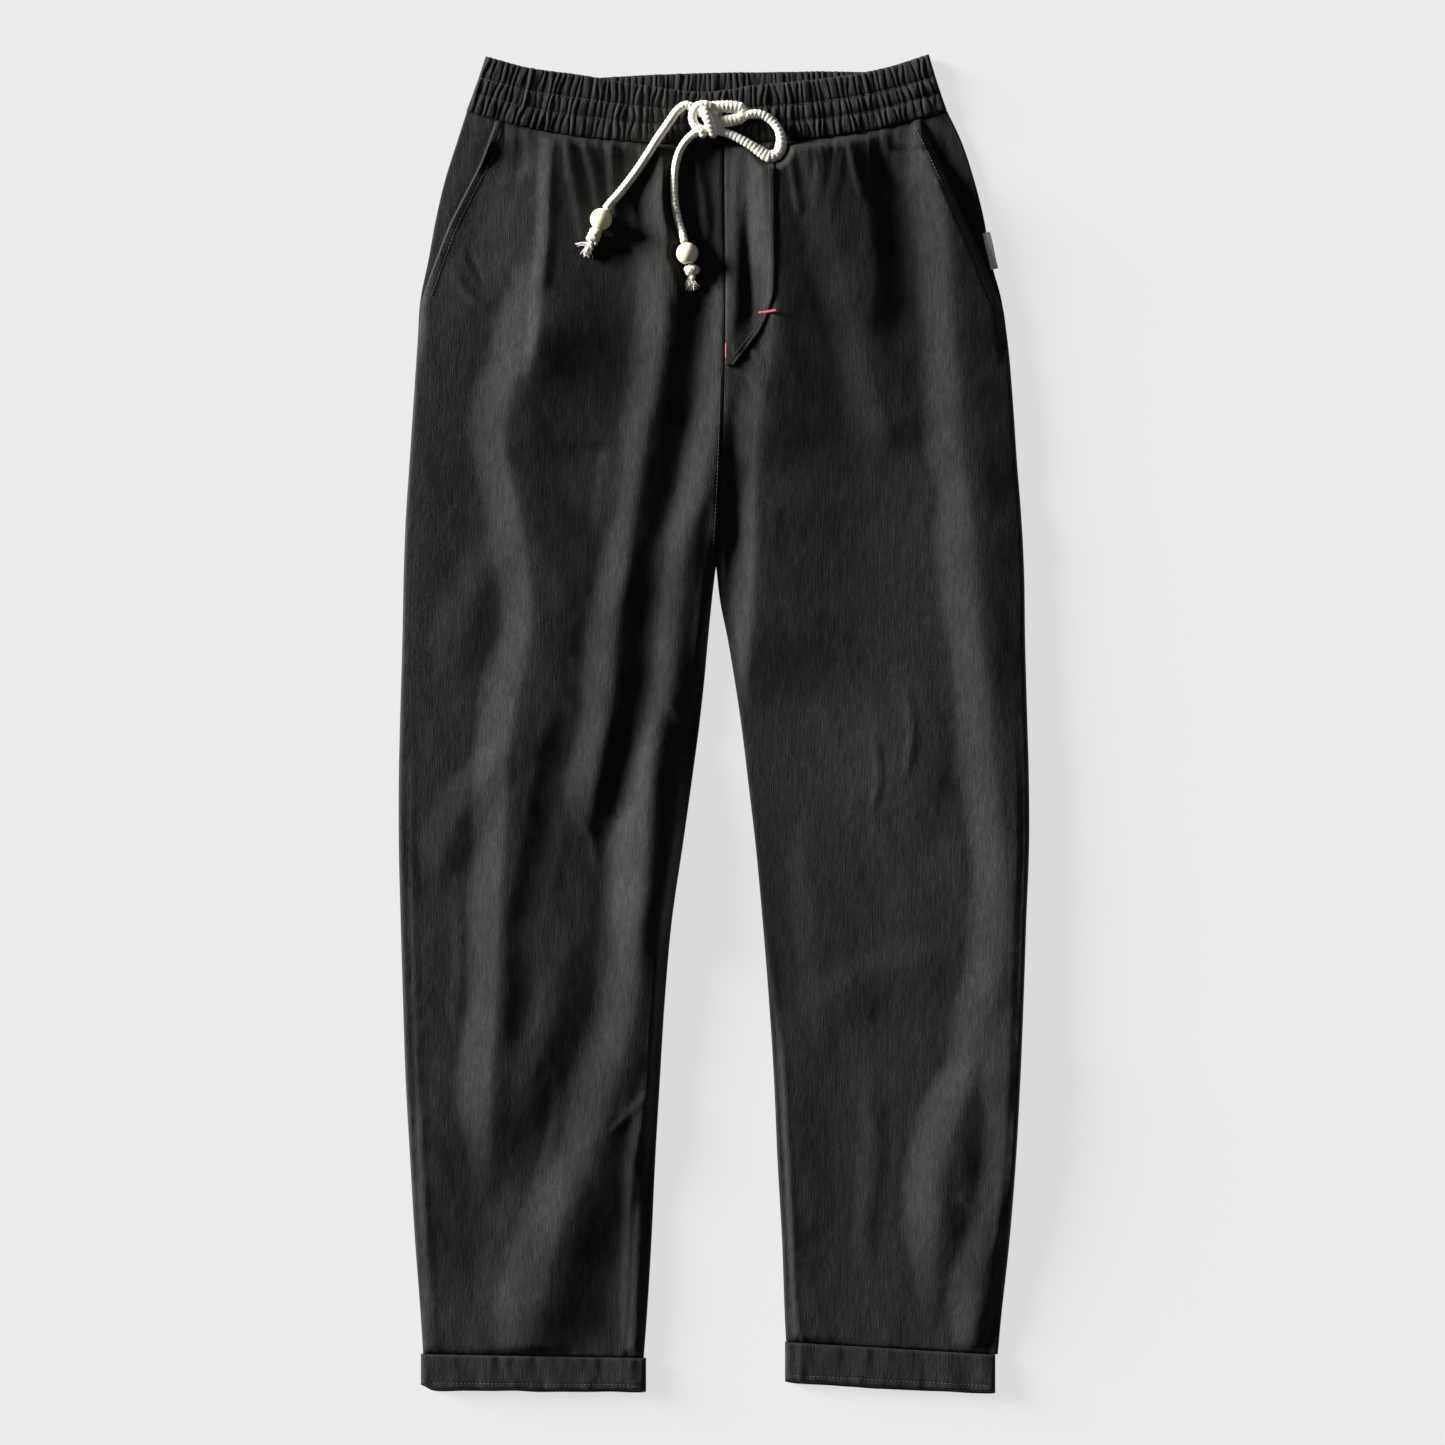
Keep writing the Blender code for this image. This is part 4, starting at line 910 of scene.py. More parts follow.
def back_height(side, x, y):
    """The underside of the back lies flat, with shallow creases that lift off the surface."""
    outer = np.abs(x - side_edge(side, y))
    inner = np.abs(x - inner_edge(side, y))
    away = blend(np.minimum(outer, inner), 0.002, 0.014)
    away = away * blend(waist_seam(x) - y, 0.004, 0.02) * blend(y - cuff_edge(side, x), 0.004, 0.02)
    creases = np.zeros(np.shape(x))
    for seed, fold in enumerate(BACK_CREASES):
        for mirror in (1, -1):
            if (mirror > 0) == (side == "left"):
                creases += fold_rise(fold, mirror * x, y, BACK_SEED + 2 * seed)
    small = np.maximum(0, 0.0004 * noise(x, y, 0.02, 0.045, 51) + 0.0002 * noise(x, y, 0.008, 0.02, 52))
    seat = np.maximum(0, seam_relief(inner - 0.0004, y, 53) * -1) * np.where(y > CROTCH_Y, 1, 0)
    return (creases + small) * away + seat * blend(inner, 0.0002, 0.001) * 0.8


def cloth_panels(cloth):
    """The four leg panels."""
    for side in ("left", "right"):
        for is_front, rows, columns in ((True, FRONT_ROWS, FRONT_COLUMNS), (False, BACK_ROWS, BACK_COLUMNS)):
            which = "front" if is_front else "back"
            outer, inner = leg_panel(side, is_front, rows, columns)
            points, faces = wall_parts(outer, inner)
            piece = new_piece(f"cloth_{which}_{side}", points, faces, (f"{which}_{side}",))
            paint_tone_and_light(piece)
            piece.data.materials.append(cloth)


def pocket_facing(side, cloth):
    """The side piece seen inside a slanted pocket mouth, running a little way under the front."""
    towards = 1 if side == "left" else -1
    underlap = 0.012
    low_end = 0.3155
    high_end = 0.455
    share = np.linspace(0, 1, 70)[:, None]
    kinds, values = turned_columns(14, 5)
    values = values[:-6]
    skins = []
    rim = MIDDLE_HEIGHT + GAP / 2
    for wall in (0, SHELL):
        columns = []
        for place, value in enumerate(values):
            y = high_end + share * (low_end - high_end)
            for _ in range(8):
                edge = side_edge(side, y)
                inmost = smooth_read(POCKET_MOUTH, "y", side, y) + towards * underlap
                if kinds[place] == "flat":
                    x = edge + towards * SIDE_ROUND + value * (inmost - edge - towards * SIDE_ROUND)
                    lift = 1
                else:
                    x = edge + towards * (SIDE_ROUND - (SIDE_ROUND - wall) * math.cos(value))
                    lift = math.sin(value)
                top = waist_seam(x) - GAP
                y = top + share * (low_end - top)
            calm = blend(np.abs(x - edge), 0.002, 0.01)
            hidden = 1 - blend(towards * (x - inmost + towards * underlap), -0.004, 0.001)
            wave = 0.0005 * noise(x, y, 0.01, 0.022, 61) + gather_ribs(x, top - y) * 0.6
            height = FACING_DEPTH + wave * calm * hidden - wall
            columns.append(np.concatenate([x, y, rim + (height - rim) * lift], axis=1))
        skins.append(np.stack(columns, axis=1))
    points, faces = wall_parts(*skins)
    piece = new_piece(f"cloth_facing_{side}", points, faces, (f"pocket_facing_{side}",))
    paint_tone_and_light(piece)
    piece.data.materials.append(cloth)


def flap_height(x, y):
    """The flap lies on the right front, a little above it."""
    return front_height("right", x, y) + 0.00045 + SHELL


def fly_flap(cloth):
    """The mock fly's flap, from the middle seam to its curved free edge."""
    edge = even_path([(row.x, row.y) for row in FLY_EDGE], 0.0022)
    across = np.linspace(0, 1, 22)
    start = inner_edge("right", edge[:, 1]) + SEAM_ROUND * 0.5
    x = start[:, None] + (edge[:, 0] - start)[:, None] * across
    y = np.minimum(edge[:, 1:2] + 0 * x, waist_seam(x) - GAP)
    height = flap_height(x, y)
    height = height + 0.0004 * np.exp(-(((1 - across) * 0.03 - 0.002) / 0.0018) ** 2)
    height = height - 0.0004 * blend(across, 0.96, 1)
    outer = np.stack([x, y, height], axis=-1)
    inner = outer - np.array([0, 0, SHELL])
    points, faces = wall_parts(outer, inner)
    piece = new_piece("cloth_fly_flap", points, faces, ("fly_flap",))
    paint_tone_and_light(piece)
    piece.data.materials.append(cloth)


def band_ribs(across, up, seed):
    """The crests of the gathers from 0 to 1, uneven in width, and a little out of line between channels."""
    phase = across * GATHERS + 0.42 * noise(across, up, 0.012, 0.3, seed)
    phase = phase + 0.25 * noise(across, up, 0.05, 2, seed + 1)
    strength = 0.62 + 0.38 * noise(across * GATHERS, up, 1.3, 0.34, seed + 2)
    return strength * np.abs(np.sin(math.pi * phase)) ** 0.6


def band_grid(seed, top_column, is_front, outside):
    """One skin of a waistband half, row by row from the seam up to the top edge."""
    up = np.concatenate([np.linspace(0, 0.96, 34), (0.98, 0.992, 1)])[:, None]
    kinds, values = turned_columns(GATHERS * SAMPLES_A_GATHER, 5)
    kinds = np.array(kinds)[None, :]
    values = values[None, :]
    low_x = BAND_SIDE_LOW[0] + up * (BAND_SIDE_HIGH[0] - BAND_SIDE_LOW[0])
    high_x = BAND_SIDE_LOW[1] + up * (BAND_SIDE_HIGH[1] - BAND_SIDE_LOW[1])
    wall = 0 if outside else BAND_WALL * 0.6
    reach = BAND_ROUND - (BAND_ROUND - wall) * np.cos(values)
    flat = low_x + BAND_ROUND + values * (high_x - low_x - 2 * BAND_ROUND)
    x = np.where(kinds == "flat", flat, np.where(kinds == "outer", low_x + reach, high_x - reach))
    lift = np.where(kinds == "flat", 1, np.sin(values))
    share = (x - low_x) / (high_x - low_x)
    ribs = band_ribs(share, up, seed)
    bottom = waist_seam(x)
    top = smooth_read(BAND_TOP, "x", top_column, x) + 0.0006 * (ribs - 0.5)
    y = bottom + up * (top - bottom)
    grooves = sum(np.exp(-(((up - line) * 0.045 / 0.0011) ** 2)) for line in CHANNEL_LINES[1:3])
    bulge = np.abs(np.sin(math.pi * np.interp(up, CHANNEL_LINES, (0, 1, 2, 3)))) ** 0.7
    edge_turn = blend(up, 0.97, 1)
    if is_front:
        rim = MIDDLE_HEIGHT + GAP / 2
        relief = 0.0012 * bulge + 0.0024 * (ribs - 0.55) * (0.45 + 0.55 * bulge) - 0.0004 * grooves
        height = BAND_DEPTH + relief - 0.001 * edge_turn - 0.0004 * (1 - blend(up, 0, 0.05))
        if not outside:
            height = BAND_DEPTH - BAND_WALL + 0.0008 * edge_turn + 0 * relief
    else:
        rim = MIDDLE_HEIGHT - GAP / 2
        relief = 0.0011 * bulge + 0.0016 * (ribs - 0.55)
        height = 0.0015 + relief * blend(up, 0.55, 0.75) - 0.0006 * edge_turn
        if outside:
            height = np.maximum(0, 0.0007 - 0.0009 * ribs * bulge) * blend(lift, 0.9, 1) + 0.0004 * edge_turn
    return np.stack([x, y, rim + (height - rim) * lift], axis=-1)


def waistband(cloth):
    """The front and back halves of the shirred waistband."""
    for which, is_front, seed in (("front", True, 71), ("back", False, 81)):
        outside = band_grid(seed, which, is_front, True)
        inside = band_grid(seed, which, is_front, False)
        points, faces = wall_parts(outside, inside)
        piece = new_piece(f"cloth_band_{which}", points, faces, (f"waistband_{which}",))
        paint_tone_and_light(piece)
        piece.data.materials.append(cloth)


def cuff_ring(side, cloth):
    """A turned-up cuff: a flattened ring of doubled cloth, whose back hangs a little lower."""
    cuff = CUFFS[side]
    half = CUFF_DEPTH / 2
    turns = 9
    flat = 84
    right_turn = np.linspace(-math.pi / 2, math.pi / 2, turns)
    left_turn = np.linspace(math.pi / 2, 3 * math.pi / 2, turns)
    flat_share = np.linspace(0, 1, flat + 2)[1:-1]
    rows = np.concatenate([(0, 0.012, 0.035), np.linspace(0.07, 0.94, 22), (0.965, 0.988, 1)])[:, None]
    skins = []
    for wall in (0, CUFF_WALL):
        low_x = cuff.x_low + half
        high_x = cuff.x_high - half
        reach = half - wall
        x = np.concatenate([
            high_x + reach * np.cos(right_turn),
            high_x + (low_x - high_x) * flat_share,
            low_x + reach * np.cos(left_turn),
            low_x + (high_x - low_x) * flat_share,
        ])
        z = np.concatenate([
            half + reach * np.sin(right_turn),
            np.full(flat, CUFF_DEPTH - wall),
            half + reach * np.sin(left_turn),
            np.full(flat, wall),
        ])
        share = (x - cuff.x_low) / (cuff.x_high - cuff.x_low)
        top = cuff.top_low + share * (cuff.top_high - cuff.top_low)
        end = cuff.end_low + share * (cuff.end_high - cuff.end_low)
        level = z / CUFF_DEPTH
        end = end - CUFF_BACK_DROP * (1 - level) + CUFF_BACK_DROP / 2
        end = end + 0.0006 * noise(x, level, 0.018, 2, 91)
        corner = np.exp(-(((x - cuff.x_low) / 0.006) ** 2)) * (0.004 if side == "left" else 0.001)
        end = end + corner
        y = top + rows * (end - top)
        above = blend(level, 0.5, 1)
        rounding = 0.0011 * (np.exp(-rows / 0.02) + np.exp(-(1 - rows) / 0.02))
        puckers = 0.0005 * noise(x, y, 0.0055, 0.03, 92) + 0.0006 * noise(x, y, 0.02, 0.05, 93)
        stitched = -0.0004 * np.exp(-(((rows - 0.84) / 0.03) ** 2))
        across_seam = seam_relief(x - (cuff.x_low + 0.1545 if side == "left" else cuff.x_low + 0.0085), y, 94)
        relief = above * (puckers + stitched + 0.8 * across_seam - rounding * (1 if wall == 0 else -0.5))
        belly = (1 - above) * rounding * (0.8 if wall == 0 else -0.3)
        skins.append(np.stack([x + 0 * y, y, z + relief + belly], axis=-1))
    rows_count, columns = skins[0].shape[:2]
    count = rows_count * columns
    faces = [grid_faces(rows_count, columns, wrap=True), grid_faces(rows_count, columns, count, wrap=True)]
    place = np.arange(columns)
    beside = (place + 1) % columns
    for row in (0, rows_count - 1):
        low = row * columns
        faces.append(np.stack([low + place, low + beside, count + low + beside, count + low + place], -1))
    points = np.concatenate([skin.reshape(-1, 3) for skin in skins])
    piece = new_piece(f"cloth_cuff_{side}", points, np.concatenate(faces), (f"cuff_{side}",))
    paint_tone_and_light(piece)
    piece.data.materials.append(cloth)


def tube_parts(path, across, tall, sides, relief=0.0, lumps=6, lump_length=0.0032, taper=False):
    """The points and faces of a tube along a path, lying with its wide side level."""
    path = np.asarray(path, dtype=float)
    along = np.gradient(path, axis=0)
    along /= np.linalg.norm(along, axis=1)[:, None]
    level = np.cross(along, (0, 0, 1))
    level /= np.linalg.norm(level, axis=1)[:, None]
    upright = np.cross(level, along)
    run = np.concatenate([[0], np.cumsum(np.linalg.norm(np.diff(path, axis=0), axis=1))])
    turn = np.linspace(0, 2 * math.pi, sides, endpoint=False)
    weave = np.cos(lumps * turn[None, :] + math.tau * run[:, None] / lump_length / 2)
    weave = weave * np.cos(lumps * turn[None, :] - math.tau * run[:, None] / lump_length / 2)
    swell = 1 + relief * (weave - 0.5)
    wide = np.broadcast_to(across, run.shape)[:, None] / 2 * swell
    high = np.broadcast_to(tall, run.shape)[:, None] / 2 * swell
    if taper:
        shrink = np.clip(np.minimum(run, run[-1] - run) / (tall * 0.5), 0, 1)
        shrink = np.sqrt(np.clip(1 - (1 - shrink) ** 2, 0.02, 1))[:, None]
        wide = wide * shrink
        high = high * shrink
    ring = path[:, None, :] + level[:, None, :] * (wide * np.cos(turn))[..., None]
    ring = ring + upright[:, None, :] * (high * np.sin(turn))[..., None]
    points = np.concatenate([ring.reshape(-1, 3), path[:1], path[-1:]])
    count = len(path) * sides
    faces = [list(face) for face in grid_faces(len(path), sides, wrap=True)]
    last = count - sides
    for place in range(sides):
        beside = (place + 1) % sides
        faces.append([count, beside, place])
        faces.append([count + 1, last + place, last + beside])
    return points, faces


def joined(parts):
    """Join the points and faces of many small meshes."""
    points = []
    faces = []
    start = 0
    for part_points, part_faces in parts:
        points.append(np.asarray(part_points))
        faces += [[int(corner) + start for corner in face] for face in part_faces]
        start += len(part_points)
    return np.concatenate(points), faces


def cord_piece(name, route, diameter, node, cotton, width=1.0, height=1.0):
    """A braided cord along its route. Returns its piece, the path that it follows and its length."""
    path = even_path(route, 0.00055)
    share = np.linspace(0, 1, len(path))
    across = diameter * (np.interp(share, *width) if width != 1.0 else 1.0)
    tall = diameter * (np.interp(share, *height) if height != 1.0 else 1.0)
    points, faces = tube_parts(path, across, tall, 36, relief=0.11)
    piece = new_piece(name, points, faces, (node,), facing=False)
    piece.data.materials.append(cotton)
    length = float(np.linalg.norm(np.diff(path, axis=0), axis=1).sum())
    return piece, path[::6].tolist() + [path[-1].tolist()], length


def drawstring_knot(cotton):
    """The bow's knot: a flat ear folded back on itself, with the other strands wrapped over it."""
    parts = []
    for route, across, tall in (
        (EAR_STRAND, 0.0088, 0.0056),
        (TAIL_STRAND, 0.0068, 0.0058),
        (RETURN_STRAND, 0.0062, 0.0056),
        (LEFT_WRAP, 0.0066, 0.0056),
        (OVER_WRAP, 0.0072, 0.0052),
    ):
        parts.append(tube_parts(even_path(route, 0.0006), across, tall, 30, relief=0.11, taper=True))
    points, faces = joined(parts)
    knot = new_piece("drawstring_knot", points, faces, ("cord_knot", "cord_loop_small"), False)
    knot.data.materials.append(cotton)
    return knot


def placed(points, place, turn):
    """Turn points about the upright axis, and move them to their place."""
    points = np.asarray(points)
    c = math.cos(turn)
    s = math.sin(turn)
    x = points[:, 0] * c - points[:, 1] * s + place[0]
    y = points[:, 0] * s + points[:, 1] * c + place[1]
    return np.stack([x, y, points[:, 2] + place[2]], axis=1)


def wooden_bead(side, place, turn, wood):
    """A turned bead with a hole along the cord."""
    hole = 0.0026
    half = BEAD / 2
    drilled = 0.34
    rounding = np.linspace(drilled, math.pi - drilled, 30)
    profile = [(half * math.sin(angle), half * math.cos(angle)) for angle in rounding]
    lip = half * math.cos(drilled)
    profile = [(hole, lip - 0.003), (hole, lip - 0.0006), (hole + 0.0003, lip)] + profile
    profile = profile + [(hole + 0.0003, -lip), (hole, -lip + 0.0006), (hole, -lip + 0.003)]
    sides = 48
    turns = np.linspace(0, math.tau, sides, endpoint=False)
    points = [(r * math.cos(t), h, r * math.sin(t)) for r, h in profile for t in turns]
    faces = list(grid_faces(len(profile), sides, wrap=True))
    last = (len(profile) - 1) * sides
    for corner in range(sides):
        beside = (corner + 1) % sides
        faces.append((last + corner, last + beside, beside, corner))
    points = placed(points, place, turn)
    bead = new_piece(f"wooden_bead_{side}", points, faces, (f"bead_{side}",))
    bead.data.materials.append(wood)
    return bead


def end_knot(side, place, turn, cotton):
    """The knot below a bead: a barrel of three coils on the left, an overhand knot on the right."""
    if side == "left":
        angles = np.linspace(0, 3.1 * math.tau, 150)
        rise = np.linspace(0.0048, -0.0048, 150)
        coil = np.stack([0.0029 * np.cos(angles), rise, 0.0027 * np.sin(angles)], axis=1)
        parts = [tube_parts(coil, 0.0042, 0.0042, 18, relief=0.1, taper=True)]
    else:
        angles = np.linspace(0, math.tau, 150)
        swing = 0.0027 + 0.0012 * np.cos(3 * angles)
        across = swing * np.cos(2 * angles)
        upward = swing * np.sin(2 * angles)
        coil = np.stack([across, 0.0016 * np.sin(3 * angles), upward], axis=1)
        parts = [tube_parts(coil, 0.0046, 0.0046, 18, relief=0.1)]
    core = np.stack([np.zeros(14), np.linspace(0.0066, -0.0076, 14), np.zeros(14)], axis=1)
    parts.append(tube_parts(core, 0.0046, 0.0046, 18, relief=0.1, taper=True))
    points, faces = joined(parts)
    points = placed(points, place, turn)
    knot = new_piece(f"tail_knot_{side}", points, faces, (f"end_knot_{side}",))
    knot.data.materials.append(cotton)
    return knot


def frayed_end(side, place, turn, cotton):
    """Frayed cord: fine strands that fan out of the cord's end, with a stray lock on the left one."""
    rng = random.Random(f"fray {side}")
    parts = []
    for strand in range(74):
        stray = side == "left" and strand < 11
        lean = rng.uniform(-1.35, -1.0) if stray else rng.uniform(-0.62, 0.62)
        if side == "left" and not stray:
            lean *= 0.55
        length = rng.uniform(0.0062, 0.0098) + (0.0012 if stray else 0)
        start = [rng.uniform(-0.0019, 0.0019), rng.uniform(0.001, 0.003), rng.uniform(-0.0012, 0.002)]
        steps = np.linspace(0, 1, 8)
        sway = rng.uniform(-0.0011, 0.0011)
        x = start[0] + math.sin(lean) * length * steps + sway * np.sin(steps * rng.uniform(3, 6))
        y = start[1] - math.cos(lean) * length * steps
        drop = rng.uniform(-0.0012, 0.0022)
        z = start[2] + drop * steps + 0.0006 * np.sin(steps * rng.uniform(2, 6))
        thick = rng.uniform(0.0005, 0.0009)
        taper = thick * np.interp(steps, (0, 0.75, 1), (1, 0.85, 0.35))
        parts.append(tube_parts(np.stack([x, y, z], axis=1), taper, taper, 5))
    neck = np.stack([np.zeros(8), np.linspace(0.0046, 0.0004, 8), np.zeros(8)], axis=1)
    parts.append(tube_parts(neck, 0.0046, 0.0042, 16, relief=0.1, taper=True))
    points, faces = joined(parts)
    points = placed(points, place, turn)
    tuft = new_piece(f"frayed_tuft_{side}", points, faces, (f"tuft_{side}",))
    tuft.data.materials.append(cotton)
    return tuft


def drawstring(cotton, wood):
    """The cord with its free ends, and what is on it."""
    knot = drawstring_knot(cotton)
    for side, bead, end, tuft, turn in (
        ("left", LEFT_BEAD, LEFT_KNOT, LEFT_TUFT, LEFT_TURN),
        ("right", RIGHT_BEAD, RIGHT_KNOT, RIGHT_TUFT, RIGHT_TURN),
    ):
        wooden_bead(side, bead, turn, wood)
        end_knot(side, end, turn, cotton)
        frayed_end(side, tuft, turn, cotton)
    for side, route, diameter in (("left", LEFT_TAIL, LEFT_CORD), ("right", RIGHT_TAIL, RIGHT_CORD)):
        name = f"drawstring_tail_{side}"
        tail, path, length = cord_piece(name, route, diameter, f"cord_tail_{side}", cotton)
    width = ((0, 0.3, 0.42, 0.58, 0.7, 1), (0.9, 0.9, 1.22, 1.25, 0.95, 0.8))
    height = ((0, 0.3, 0.5, 0.7, 1), (0.9, 0.86, 0.78, 0.86, 0.84))
    loop, path, length = cord_piece(
        "drawstring_loop", LARGE_LOOP, LOOP_CORD, "cord_loop_large", cotton, width, height
    )


def stitch_parts(line, height):
    """Short stitches along a line of x and y points, on a surface whose height is a function."""
    line = np.asarray(line, dtype=float)
    run = np.concatenate([[0], np.cumsum(np.linalg.norm(np.diff(line, axis=0), axis=1))])
    starts = np.arange(STITCH_PITCH / 2, run[-1] - STITCH, STITCH_PITCH)
    arc = np.linspace(0, 1, 5)
    places = starts[:, None] + STITCH * arc
    x = np.interp(places, run, line[:, 0])
    y = np.interp(places, run, line[:, 1])
    z = height(x, y) + THREAD * (1.6 * np.sin(math.pi * arc) - 0.5)
    parts = []
    for stitch in np.stack([x, y, z], axis=-1):
        parts.append(tube_parts(stitch, 2 * THREAD, 2 * THREAD, 6))
    return parts


def band_surface(x, y):
    """The height of the front waistband under a stitch."""
    low_x = BAND_SIDE_LOW[0]
    high_x = BAND_SIDE_LOW[1]
    bottom = waist_seam(x)
    up = (y - bottom) / (smooth_read(BAND_TOP, "x", "front", x) - bottom)
    low_x = low_x + up * (BAND_SIDE_HIGH[0] - BAND_SIDE_LOW[0])
    high_x = high_x + up * (BAND_SIDE_HIGH[1] - BAND_SIDE_LOW[1])
    ribs = band_ribs((x - low_x) / (high_x - low_x), up, 71)
    return BAND_DEPTH + 0.0024 * (ribs - 0.55) * 0.45 - 0.0002


def topstitching(thread):
    """Rows of thread at the waistband, the pocket mouths, the fly, the middle seam and the cuffs."""
    rows = {}
    x = np.linspace(-0.176, 0.166, 420)
    band = []
    for line in CHANNEL_LINES[1:3]:
        bottom = waist_seam(x)
        y = bottom + line * (smooth_read(BAND_TOP, "x", "front", x) - bottom)
        band += stitch_parts(np.stack([x, y], axis=1), band_surface)
    rows["band"] = band
    for side in ("left", "right"):
        towards = 1 if side == "left" else -1
        y = np.linspace(0.447, 0.318, 90)
        mouth = smooth_read(POCKET_MOUTH, "y", side, y)
        parts = []
        for inset in (0.0016, 0.0068):
            line = np.stack([mouth + towards * inset, y], axis=1)
            parts += stitch_parts(line, lambda px, py, which=side: front_height(which, px, py))
        rows[f"pocket_{side}"] = parts
        cuff = CUFFS[side]
        x = np.linspace(cuff.x_low + 0.005, cuff.x_high - 0.005, 60)
        share = (x - cuff.x_low) / (cuff.x_high - cuff.x_low)
        top = cuff.top_low + share * (cuff.top_high - cuff.top_low)
        end = cuff.end_low + share * (cuff.end_high - cuff.end_low) + CUFF_BACK_DROP / 2
        line = np.stack([x, top + 0.84 * (end - top)], axis=1)
        rows[f"cuff_{side}"] = stitch_parts(line, cuff_top)
    edge = even_path([(row.x, row.y) for row in FLY_EDGE], 0.002)
    inside = edge - np.array([0.0045, -0.0012])
    rows["fly"] = stitch_parts(inside[2:-3], flap_height)
    y = np.linspace(0.262, 0.13, 60)
    line = np.stack([inner_edge("left", y) - 0.0032, y], axis=1)
    rows["middle"] = stitch_parts(line, lambda px, py: front_height("left", px, py))
    for name, parts in rows.items():
        points, faces = joined(parts)
        piece = new_piece(f"stitches_{name}", points, faces, facing=False)
        piece.data.materials.append(thread)


def cuff_top(x, y):
    """The height of a cuff's upper side near its stitching."""
    puckers = 0.0005 * noise(x, y, 0.0055, 0.03, 92) + 0.0006 * noise(x, y, 0.02, 0.05, 93)
    return CUFF_DEPTH + puckers - 0.0004


def bartack(name, middle, length, width, turn, height, thread):
    """A dense bar of satin stitches over two long threads."""
    parts = []
    count = int(length / 0.0005)
    for step in range(count):
        along = (step / (count - 1) - 0.5) * length
        arc = np.linspace(-1, 1, 6)
        x = along + 0.00012 * arc
        local = np.stack([x, arc * width / 2, 0 * arc], axis=1)
        spot = placed(local, (middle[0], middle[1], 0), turn)
        lift = height(spot[:, 0], spot[:, 1]).max() + 0.00012 + 0.00028 * np.sqrt(np.clip(1 - arc**2, 0, 1))
        spot[:, 2] = lift
        parts.append(tube_parts(spot, 0.0005, 0.0005, 6))
    points, faces = joined(parts)
    piece = new_piece(name, points, faces, facing=False)
    piece.data.materials.append(thread)


def side_label(tape):
    """A small blank label: a strip of tape folded over, with both ends in the seam at its left."""
    width = 0.0056
    length = 0.028
    tape_wall = 0.00022
    fold = 0.00032
    low = [(-width / 2 + (width - fold) * step / 10, -fold) for step in range(11)]
    bend = [(width / 2 - fold + fold * math.cos(a), fold * math.sin(a)) for a in np.linspace(-1.3, 1.3, 7)]
    high = [(width / 2 - fold - (width - fold) * step / 10, fold) for step in range(11)]
    line = np.array(low + bend + high)
    way = np.gradient(line, axis=0)
    way /= np.linalg.norm(way, axis=1)[:, None]
    normal = np.stack([way[:, 1], -way[:, 0]], axis=1)
    arch = 0.00022 * np.sin(math.pi * np.clip(line[:, 0] / width + 0.5, 0, 1)) * np.sign(line[:, 1])
    skins = []
    for offset in (tape_wall / 2, -tape_wall / 2):
        section = line + normal * offset + np.stack([0 * arch, arch], axis=1)
        along = np.linspace(-0.5, 0.5, 40)[:, None]
        x = section[None, :, 0] * (1 + 0.05 * np.sin(7 * along))
        z = section[None, :, 1] + 0.0004 * np.sin(3.2 * along + 0.5)
        skins.append(np.stack([x, along * length + 0 * x, z], axis=-1))
    points, faces = wall_parts(*skins)
    spot = placed(points, (0.207, 0.3548, 0.0042), math.radians(13))
    label = new_piece("blank_label", spot, faces, ("side_label",))
    label.data.materials.append(tape)


def material(name, colour, roughness, **settings):
    """A Principled material, with its nodes to add to."""
    made = bpy.data.materials.new(name)
    made.use_nodes = True
    shader = made.node_tree.nodes["Principled BSDF"]
    shader.inputs["Base Color"].default_value = (*colour, 1)
    shader.inputs["Roughness"].default_value = roughness
    for socket, value in settings.items():
        shader.inputs[socket.replace("_", " ")].default_value = value
    return made, made.node_tree.nodes, made.node_tree.links, shader


def texture(nodes, links, kind, stretch, **settings):
    """A procedural texture that is read in the garment's own metres."""
    place = nodes.new("ShaderNodeTexCoord")
    scaled = nodes.new("ShaderNodeMapping")
    scaled.inputs["Scale"].default_value = stretch
    links.new(place.outputs["Object"], scaled.inputs["Vector"])
    made = nodes.new(kind)
    for socket, value in settings.items():
        made.inputs[socket.replace("_", " ")].default_value = value
    links.new(scaled.outputs["Vector"], made.inputs["Vector"])
    return made


def two_tones(nodes, links, shader, share, low, high):
    """Colour a shader between two tones by a share from 0 to 1."""
    tone = nodes.new("ShaderNodeMix")
    tone.data_type = "RGBA"
    tone.inputs["A"].default_value = (*low, 1)
    tone.inputs["B"].default_value = (*high, 1)
    links.new(share, tone.inputs["Factor"])
    links.new(tone.outputs["Result"], shader.inputs["Base Color"])


def mapped(nodes, links, source, low, high, new_low, new_high):
    """Map a value from one range to another."""
    made = nodes.new("ShaderNodeMapRange")
    for socket, value in (("From Min", low), ("From Max", high), ("To Min", new_low), ("To Max", new_high)):
        made.inputs[socket].default_value = value
    links.new(source, made.inputs["Value"])
    return made.outputs["Result"]


def product(nodes, links, first, second):
    """Multiply two values."""
    made = nodes.new("ShaderNodeMath")
    made.operation = "MULTIPLY"
    links.new(first, made.inputs[0])
    links.new(second, made.inputs[1])
    return made.outputs["Value"]


def bump_chain(nodes, links, shader, heights):
    """Stack bumps of set depths on a shader."""
    before = None
    for source, depth in heights:
        bump = nodes.new("ShaderNodeBump")
        bump.inputs["Distance"].default_value = depth
        bump.inputs["Strength"].default_value = 1
        links.new(source, bump.inputs["Height"])
        if before is not None:
            links.new(before, bump.inputs["Normal"])
        before = bump.outputs["Normal"]
    links.new(before, shader.inputs["Normal"])


